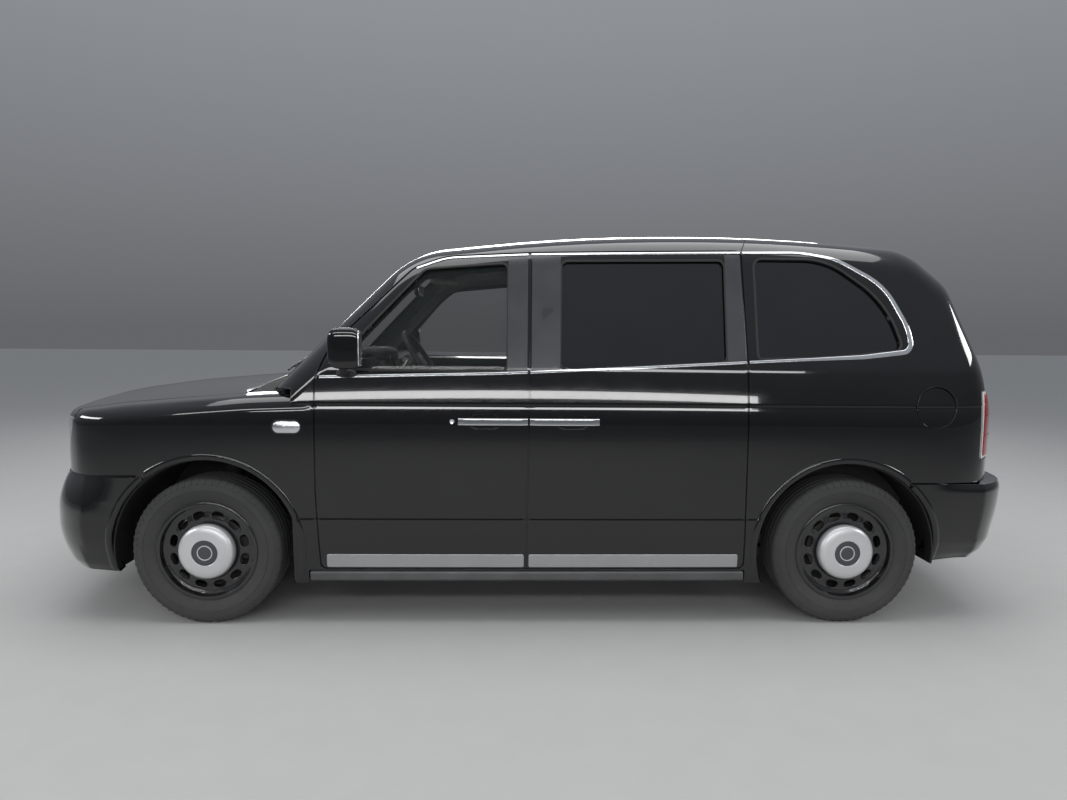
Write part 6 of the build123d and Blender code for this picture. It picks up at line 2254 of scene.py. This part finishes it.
class Cabin(Kit):
    """Seats, dashboard, steering wheel, partition glass and rails seen through the glass."""

    driver_y = 370.0
    seat_lean = math.atan2(60, 560)
    column_tilt = math.radians(33)
    wheel_centre = np.array([553.0, 370.0, 1206.0])
    thirds = (-420.0, 0.0, 420.0)

    def build(self) -> None:
        """Make everything inside."""
        self.driver_seat()
        self.bench()
        self.folding_seats()
        self.dashboard()
        self.steering()
        self.door_trims()
        self.fittings()

    def cushion(
        self, name: str, solid: Solid, body: str = "root", nodes: Sequence[str] = ()
    ) -> None:
        """Place one stuffed piece."""
        piece = self.shop.place(name, solid, (Finish.VINYL, Finish.VINYL), body, nodes)

    @classmethod
    def leaning(cls, solid: Solid, origin: Sequence[float]) -> Solid:
        """Return a pad stood up as a seat back, at the seats' lean."""
        sine, cosine = math.sin(cls.seat_lean), math.cos(cls.seat_lean)
        return placed(solid, origin, LEFT, (-sine, 0.0, cosine), (cosine, 0.0, sine))

    def driver_seat(self) -> None:
        """Make the driver's seat: cushion, leaning back, headrest and base."""
        y = self.driver_y
        seams = (("x", -130.0), ("x", 130.0), ("y", 60.0))
        base = Stuffing.inflate(pad(470, 500, 92, 20, seams, 26.0), seams)
        self.cushion("driver_cushion", placed(base, (282, y, 756), LEFT, BACK, UP), nodes=["driver_seat"])
        seams = (("x", -125.0), ("x", 125.0), ("y", 130.0), ("y", -60.0))
        back = Stuffing.inflate(pad(466, 590, 88, 16, seams, 30.0), seams)
        self.cushion("driver_back", self.leaning(back, (6, y, 1082)))
        head = pad(250, 168, 66, 10, (("y", 0.0),), 0.0, 30.0, 24)
        self.cushion("driver_headrest", self.leaning(head, (-62, y, 1488)))
        for number, offset in enumerate((-58, 58)):
            post = self.weave.tube(((-30, y + offset, 1370), (-58, y + offset, 1440)), 7.0)
            self.single(f"driver_post_{number}", post, Finish.CHROME)
        self.single("driver_plinth", boxed(80, 480, y - 196, y + 196, 364, 700, 22), Finish.PLASTIC)
        rails = [boxed(60, 520, y + s - 16, y + s + 16, 360, 378, 4) for s in (-150, 150)]
        self.single("driver_rails", together(*rails), Finish.BRAKE)
        lever = self.weave.tube(bent(((330, 612, 640), (420, 630, 646), (470, 630, 640)), 20), 9.0)
        self.single("driver_lever", lever, Finish.PLASTIC)

    def bench(self) -> None:
        """Make the rear bench for three."""
        seams = (("x", -210.0), ("x", 210.0))
        base = pad(1250, 490, 92, 18, (*seams, ("y", 70.0)), 14.0, count=64)
        self.cushion("bench_cushion", placed(base, (-1062, 0, 736), LEFT, BACK, UP), nodes=["rear_bench"])
        back = pad(1250, 590, 86, 14, (*seams, ("y", 120.0), ("y", -80.0)), 12.0, count=64)
        self.cushion("bench_back", self.leaning(back, (-1328, 0, 1060)))
        head = pad(232, 140, 62, 9, (("y", 0.0),), 0.0, 28.0, 20)
        for number, y in enumerate(self.thirds):
            self.cushion(f"bench_headrest_{number}", self.leaning(head, (-1382, y, 1402)))
        self.single("bench_plinth", boxed(-1240, -880, -590, 590, 562, 688, 16), Finish.PLASTIC)
        belts = []
        for y in (-520.0, -100.0, 310.0):
            path = ((-1278, y, 1330), (-1262, y, 1200), (-1240, y + 40, 980), (-1218, y + 130, 820))
            belts.append(self.webbing(path, (1.0, 0.0, 0.2)))
        self.single("bench_belts", together(*belts), Finish.FABRIC)

    @staticmethod
    def webbing(rows: Sequence[Row], out: Sequence[float]) -> Solid:
        """Return a flat belt along a path, with its face turned outwards."""
        path = bent(rows, 60)
        return swept(path, np.tile(out, (len(path), 1)), bar_section(46, 2.4, 0.8), False)

    def folding_seats(self) -> None:
        """Make the three folding seats on the partition."""
        ribs = (("x", -70.0), ("x", 70.0))
        back = pad(392, 276, 44, 8, ribs, count=24)
        backs = [placed(back, (-166, y, 1190), LEFT, UP, BACK) for y in self.thirds]
        self.cushion("jump_backs", together(*backs), nodes=["jump_seats"])
        frames = [boxed(-152, -124, y - 158, y + 158, 362, 700, 10) for y in self.thirds]
        plates = [boxed(-142, -124, y - 190, y + 190, 1054, 1326, 8) for y in self.thirds]
        self.single("jump_frames", together(*frames, *plates), Finish.PLASTIC)
        seat = pad(388, 300, 40, 7, (*ribs, ("y", 0.0)), count=24)
        for name, y in zip(("left", "centre", "right"), reversed(self.thirds)):
            body = f"jump_cushion_{name}"
            folded = placed(seat, (-224, y, 884), LEFT, UP, BACK)
            self.cushion(f"jump_pad_{name}", folded, body=body, nodes=[body])
            shell = boxed(-206, -196, y - 186, y + 186, 736, 1028, 4)
            self.single(f"jump_shell_{name}", shell, Finish.PLASTIC, body)

    def dashboard(self) -> None:
        """Make the dashboard with its screens, vents and console, and the steering column."""
        y = self.driver_y
        profile = (
            (1050, 1108, 0), (1000, 1186, 60), (880, 1230, 60), (772, 1238, 26), (730, 1180, 26),
            (742, 1080, 40), (850, 962, 70), (960, 884, 40), (1050, 866, 0),
        )
        self.single("dash_body", outwards(extruded(profile, -768, 768, 14)), Finish.PLASTIC, "root", "dashboard")
        self.single("dash_binnacle", blob((790, y, 1246), (92, 176, 40), 3.0, 24), Finish.PLASTIC)
        self.single("dash_dials", blob((716, y, 1236), (8, 136, 27), 5.0, 16), Finish.TINT)
        self.single("dash_screen", boxed(706, 722, -104, 104, 1020, 1200, 6), Finish.TINT)
        self.single("dash_screen_frame", boxed(712, 736, -114, 114, 1008, 1212, 8), Finish.SATIN)
        slat = boxed(0, 12, -62, 62, -2, 2, 1)
        for number, middle in enumerate((-640.0, -240.0, 180.0, 640.0)):
            self.single(f"vent_{number}", boxed(724, 742, middle - 74, middle + 74, 1168, 1222, 8), Finish.RUBBER)
            fins = self.weave.repeated(slat.moved((720, middle, 1176)), 6, step=(0, 0, 8))
            self.single(f"vent_fins_{number}", fins, Finish.SATIN)
        self.single("dash_console", boxed(806, 1046, -186, 186, 366, 1010, 24), Finish.PLASTIC)
        self.single("dash_strip", boxed(724, 734, -740, 180, 1146, 1156, 3), Finish.SILVER)
        self.single("glovebox", boxed(738, 770, -700, -300, 1010, 1120, 10), Finish.PLASTIC)
        knob = revolved(((0, 0), (14, 12), (15, 16), (12, 18), (-8, 19)), (0, 0, 0), 32)
        knobs = self.weave.repeated(placed(knob, (738, -90, 986), LEFT, BACK, UP), 4, step=(0, 60, 0))
        self.single("dash_knobs", knobs, Finish.SATIN)
        axis = np.array([-math.cos(self.column_tilt), 0, math.sin(self.column_tilt)])
        line = [self.wheel_centre - axis * d for d in (50, 90, 170, 250)]
        self.single("column_shroud", self.weave.tube(line, 38.0, sides=24), Finish.PLASTIC)
        stalks = []
        for s in (-1, 1):
            rows = ((70, 30, 0), (66, 110, 14), (50, 170, 22))
            line = [self.wheel_centre - axis * back + [0, s * out, up] for back, out, up in rows]
            stalks.append(self.weave.tube(bent(line, 30), 7.0))
        self.single("column_stalks", together(*stalks), Finish.PLASTIC)

    def steering(self) -> None:
        """Make the steering wheel: wrapped rim, spokes, boss and keys."""
        sine, cosine = math.sin(self.column_tilt), math.cos(self.column_tilt)
        axis, up, left = np.array([-cosine, 0.0, sine]), np.array([sine, 0.0, cosine]), np.array([0, 1, 0])
        centre = self.wheel_centre
        turns = np.linspace(0, math.tau, 96, endpoint=False)
        rim = [centre + 178 * (math.cos(t) * left + math.sin(t) * up) for t in turns]
        parts = [self.weave.tube(rim, 14.5, closed=True, sides=20)]
        for angle, width in ((0.0, 30), (math.pi, 30), (-math.pi / 2 - 0.25, 22), (-math.pi / 2 + 0.25, 22)):
            way = math.cos(angle) * left + math.sin(angle) * up
            spoke = boxed(-width / 2, width / 2, 40, 172, -12, -2, 4)
            parts.append(placed(spoke, centre - axis * 10, np.cross(axis, way), way, axis))
        self.single("steering_rim", together(*parts), Finish.VINYL, "steering_wheel", "steering_wheel")
        boss = placed(blob((0, 0, -14), (66, 54, 18), 3.4, 24), centre - axis * 4, LEFT, up, axis)
        self.single("steering_boss", boss, Finish.PLASTIC, "steering_wheel")
        keys = [blob((s * 92, 0, -6), (16, 20, 7), 4.0, 10) for s in (-1, 1)]
        keys = [placed(key, centre - axis * 6, LEFT, up, axis) for key in keys]
        self.single("steering_keys", together(*keys), Finish.SATIN, "steering_wheel")

    def door_trims(self) -> None:
        """Make the armrest, padded insert, pocket, speaker and pulls on the inside of each door."""

        def layer(rows: Sequence[Row], depths: tuple[float, float, float], step: float = 26.0) -> Solid:
            """Return a piece of trim that lies on the door's inner face."""
            spots = np.array([row[:2] for row in rows])
            low, high = spots.min(0) - 30, spots.max(0) + 30
            extent = (low[0], high[0], low[1], high[1])
            return Skin.lay(CABIN, SidePatch(400.0), extent, [side_cut(rows, keep=True)], step).shell(*depths)

        for name, near, far, latch, cone in (
            ("front_door", 210.0, 800.0, 655.0, 730.0), ("rear_door", -860.0, -190.0, -675.0, -790.0)
        ):
            for part, rows, depths, finish, step in (
                ("armrest", rect(near + 70, far - 90, 892, 946, 20), (67, 120, 14), Finish.VINYL, 26.0),
                ("insert", rect(near, far, 640, 876, 40), (67, 78, 7), Finish.VINYL, 26.0),
                ("upper", rect(near - 40, far + 10, 962, 1120, 40), (67, 75, 6), Finish.PLASTIC, 26.0),
                ("pocket", rect(near + 20, far - 150, 330, 470, 26), (67, 98, 12), Finish.PLASTIC, 26.0),
                ("latch", rect(latch - 50, latch + 50, 1002, 1036, 15), (74, 80, 3), Finish.CHROME, 12.0),
                ("window_seal", rect(near - 60, far + 20, 1142, 1156, 6), (66, 76, 4), Finish.RUBBER, 26.0),
                ("speaker", circle_rows(cone, 470.0, 72, 48), (68, 76, 4), Finish.RUBBER, 14.0),
            ):
                self.pair(f"{name}_{part}", layer(rows, depths, step), finish, name)
        path, normals = lay_path([(-250.0, z) for z in np.linspace(820, 1150, 12)], Look.SIDE, CABIN)
        lift = 72 + 42 * np.clip(np.sin(np.linspace(0, np.pi, 12)) * 2.2, 0, 1)
        grip = self.weave.tube(path - normals * lift[:, None], 12.0)
        self.pair("rear_door_grip", grip, Finish.RAIL, "rear_door")
        line = ((-84, 812, 1480), (-70, 800, 1180), (-40, 780, 800), (-30, 776, 420))
        belt = self.webbing(line, (0.3, -1.0, 0.0))
        self.pair("front_belt", belt, Finish.FABRIC)

    def fittings(self) -> None:
        """Make the inner mirror, sun visors, rails, pedals, mats and the partition's pane and seal."""
        self.single("inner_mirror", blob((628, 0, 1596), (16, 112, 33), 4.0, 20), Finish.PLASTIC)
        self.single("inner_mirror_glass", blob((613, 0, 1596), (3, 104, 27), 6.0, 14), Finish.REFLECTOR)
        self.single("inner_mirror_stem", self.weave.tube(((636, 0, 1620), (610, 0, 1676)), 8.0), Finish.PLASTIC)
        visors = [blob((520, y, 1672), (78, 190, 9), 5.0, 18) for y in (-360, 360)]
        self.single("sun_visors", together(*visors), Finish.PALE_TRIM)
        cuts = [Cut(Look.FRONT, PARTITION_PANE, 2.0, keep=True, beyond=-1e5, start=-400)]
        patch = EndPatch(-400.0, 1e6, 1.0)
        face = Skin.lay(lambda p: p[:, 0] + 113, patch, (-640.0, 640.0, 1020.0, 1660.0), cuts, 60.0)
        self.single("partition_pane", face.shell(0, 5, 0.5), Finish.CLEAR)
        ring = rounded(PARTITION_PANE, 20.0)
        path = np.column_stack([np.full(len(ring), -116.0), ring])
        seal = swept(path, np.tile(AHEAD, (len(path), 1)), bar_section(18, 14, 4, -7), True)
        self.single("partition_seal", seal, Finish.RUBBER)
        for side, y in (("right", -690), ("left", 690)):
            rail = bent(((-136, y, 760), (-190, y, 790), (-190, y, 1340), (-136, y, 1370)), 40)
            self.single(f"grab_rail_{side}", self.weave.tube(rail, 13.0), Finish.RAIL)
        pedals = [boxed(878, 890, y - 30, y + 30, 430, 520, 5) for y in (300, 420)]
        arms = [self.weave.tube(bent(((884, y, 500), (900, y, 640), (940, y, 800)), 60), 7.0) for y in (300, 420)]
        self.single("pedals", together(*pedals, *arms), Finish.RUBBER)
        self.single("floor_mat", boxed(-1040, -130, -720, 720, 361, 366, 2), Finish.FABRIC)
        self.single("driver_mat", boxed(500, 800, 150, 640, 361, 366, 2), Finish.FABRIC)


# ---------------------------------------------------------------- the picture
class Studio:
    """Camera, lights and floor."""

    aim = (math.radians(-1.22), math.radians(-5.63), math.radians(0.42))
    spot = (0.053, 4.154, 1.379)
    focal = 713.1 / 1067 * 36
    floor_half = 40.0
    dome = ((0.0, (0.17, 0.175, 0.185, 1)), (0.9, (0.62, 0.66, 0.72, 1)))
    dome_strength = 0.75
    lamps = (
        ("overhead", (0.0, 0.4, 6.6), (0, 0, 0), (9.0, 4.4), 300.0),
        ("front_strip", (0.4, 6.6, 3.6), (0, 0, 0.9), (9.0, 0.5), 110.0),
        ("belt_strip", (0.2, 7.0, 2.15), (0, 0, 1.0), (7.0, 0.22), 55.0),
        ("nose_strip", (6.4, 2.4, 3.2), (0.8, 0, 0.7), (3.4, 0.6), 80.0),
        ("tail_strip", (-6.4, 2.0, 3.4), (-0.8, 0, 0.8), (3.4, 0.6), 80.0),
        ("back_strip", (0.0, -6.6, 3.4), (0, 0, 1.0), (9.0, 0.6), 120.0),
    )

    def build(self) -> None:
        """Set the picture up."""
        scene = bpy.context.scene
        scene.view_settings.view_transform = "Standard"
        self.camera(scene)
        self.floor()
        self.world(scene)
        self.lights(scene)

    def camera(self, scene: bpy.types.Scene) -> None:
        """Stand the camera where the photograph was taken from."""
        yaw, pitch, roll = self.aim
        forward = Vector((math.sin(yaw) * math.cos(pitch), -math.cos(yaw) * math.cos(pitch), math.sin(pitch)))
        right = forward.cross(Vector((0, 0, 1))).normalized()
        up = right.cross(forward)
        turned = right * math.cos(roll) + up * math.sin(roll)
        upright = up * math.cos(roll) - right * math.sin(roll)
        data = bpy.data.cameras.new("camera")
        data.sensor_width = 36.0
        data.lens = self.focal
        camera = bpy.data.objects.new("camera", data)
        scene.collection.objects.link(camera)
        rotation = Matrix((turned, upright, -forward)).transposed()
        camera.matrix_world = Matrix.Translation(self.spot) @ rotation.to_4x4()
        scene.camera = camera

    def floor(self) -> None:
        """Lay the plain floor."""
        half = self.floor_half
        mesh = bpy.data.meshes.new("floor")
        corners = [(-half, -half, 0), (half, -half, 0), (half, half, 0), (-half, half, 0)]
        mesh.from_pydata(corners, [], [(0, 1, 2, 3)])
        mesh.materials.append(build_finish(Finish.FLOOR))
        linked("floor", mesh)

    def world(self, scene: bpy.types.Scene) -> None:
        """Put a bright dome over the object."""
        world = bpy.data.worlds.new("world")
        world.use_nodes = True
        tree = world.node_tree
        tree.nodes.clear()
        kinds = ("ShaderNodeTexCoord", "ShaderNodeSeparateXYZ", "ShaderNodeValToRGB", "ShaderNodeBackground")
        place, split, ramp, background = (tree.nodes.new(kind) for kind in kinds)
        output = tree.nodes.new("ShaderNodeOutputWorld")
        tree.links.new(place.outputs["Generated"], split.inputs[0])
        tree.links.new(split.outputs[2], ramp.inputs[0])
        tree.links.new(ramp.outputs[0], background.inputs[0])
        tree.links.new(background.outputs[0], output.inputs[0])
        for element, (position, colour) in zip(ramp.color_ramp.elements, self.dome):
            element.position, element.color = position, colour
        background.inputs[1].default_value = self.dome_strength
        scene.world = world

    def lights(self, scene: bpy.types.Scene) -> None:
        """Light the object softly from large panels."""
        for name, spot, aim, size, power in self.lamps:
            data = bpy.data.lights.new(name, "AREA")
            data.shape = "RECTANGLE"
            data.energy, data.size, data.size_y = power, *size
            lamp = bpy.data.objects.new(name, data)
            lamp.location = spot
            lamp.rotation_mode = "QUATERNION"
            lamp.rotation_quaternion = (Vector(aim) - Vector(spot)).to_track_quat("-Z", "Y")
            scene.collection.objects.link(lamp)


CAD_FINISHES = {
    Finish.TYRE: ("tyre_",),
    Finish.WHEEL: ("wheel_",),
    Finish.STEP: ("side_steps",),
    Finish.CASTING: ("battery_pack", "engine"),
    Finish.CHROME: ("grille",),
    Finish.LENS: ("headlamps",),
    Finish.RED_LENS: ("tail_lamps",),
    Finish.PLASTIC: ("partition", "dashboard", "steering_wheel"),
    Finish.VINYL: ("driver_seat", "rear_bench", "jump_"),
}


def dress_nodes(shop: Workshop) -> None:
    """Give every CAD node its finish, by the start of its name."""
    for name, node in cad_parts.items():
        named = (finish for finish, starts in CAD_FINISHES.items() if name.startswith(starts))
        node.data.materials.clear()
        node.data.materials.append(shop.finish(next(named, Finish.UNDERBODY)))


def main() -> None:
    """Build the whole picture."""
    shop, weave = Workshop(), Weaver()
    dress_nodes(shop)
    for kit in (Body, Glazing, Trim, Wheels, Lamps, Cabin):
        kit(shop, weave).build()
    Studio().build()
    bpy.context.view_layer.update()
    LOG.info("pieces: %d", shop.count)


if __name__ == "__main__":
    main()
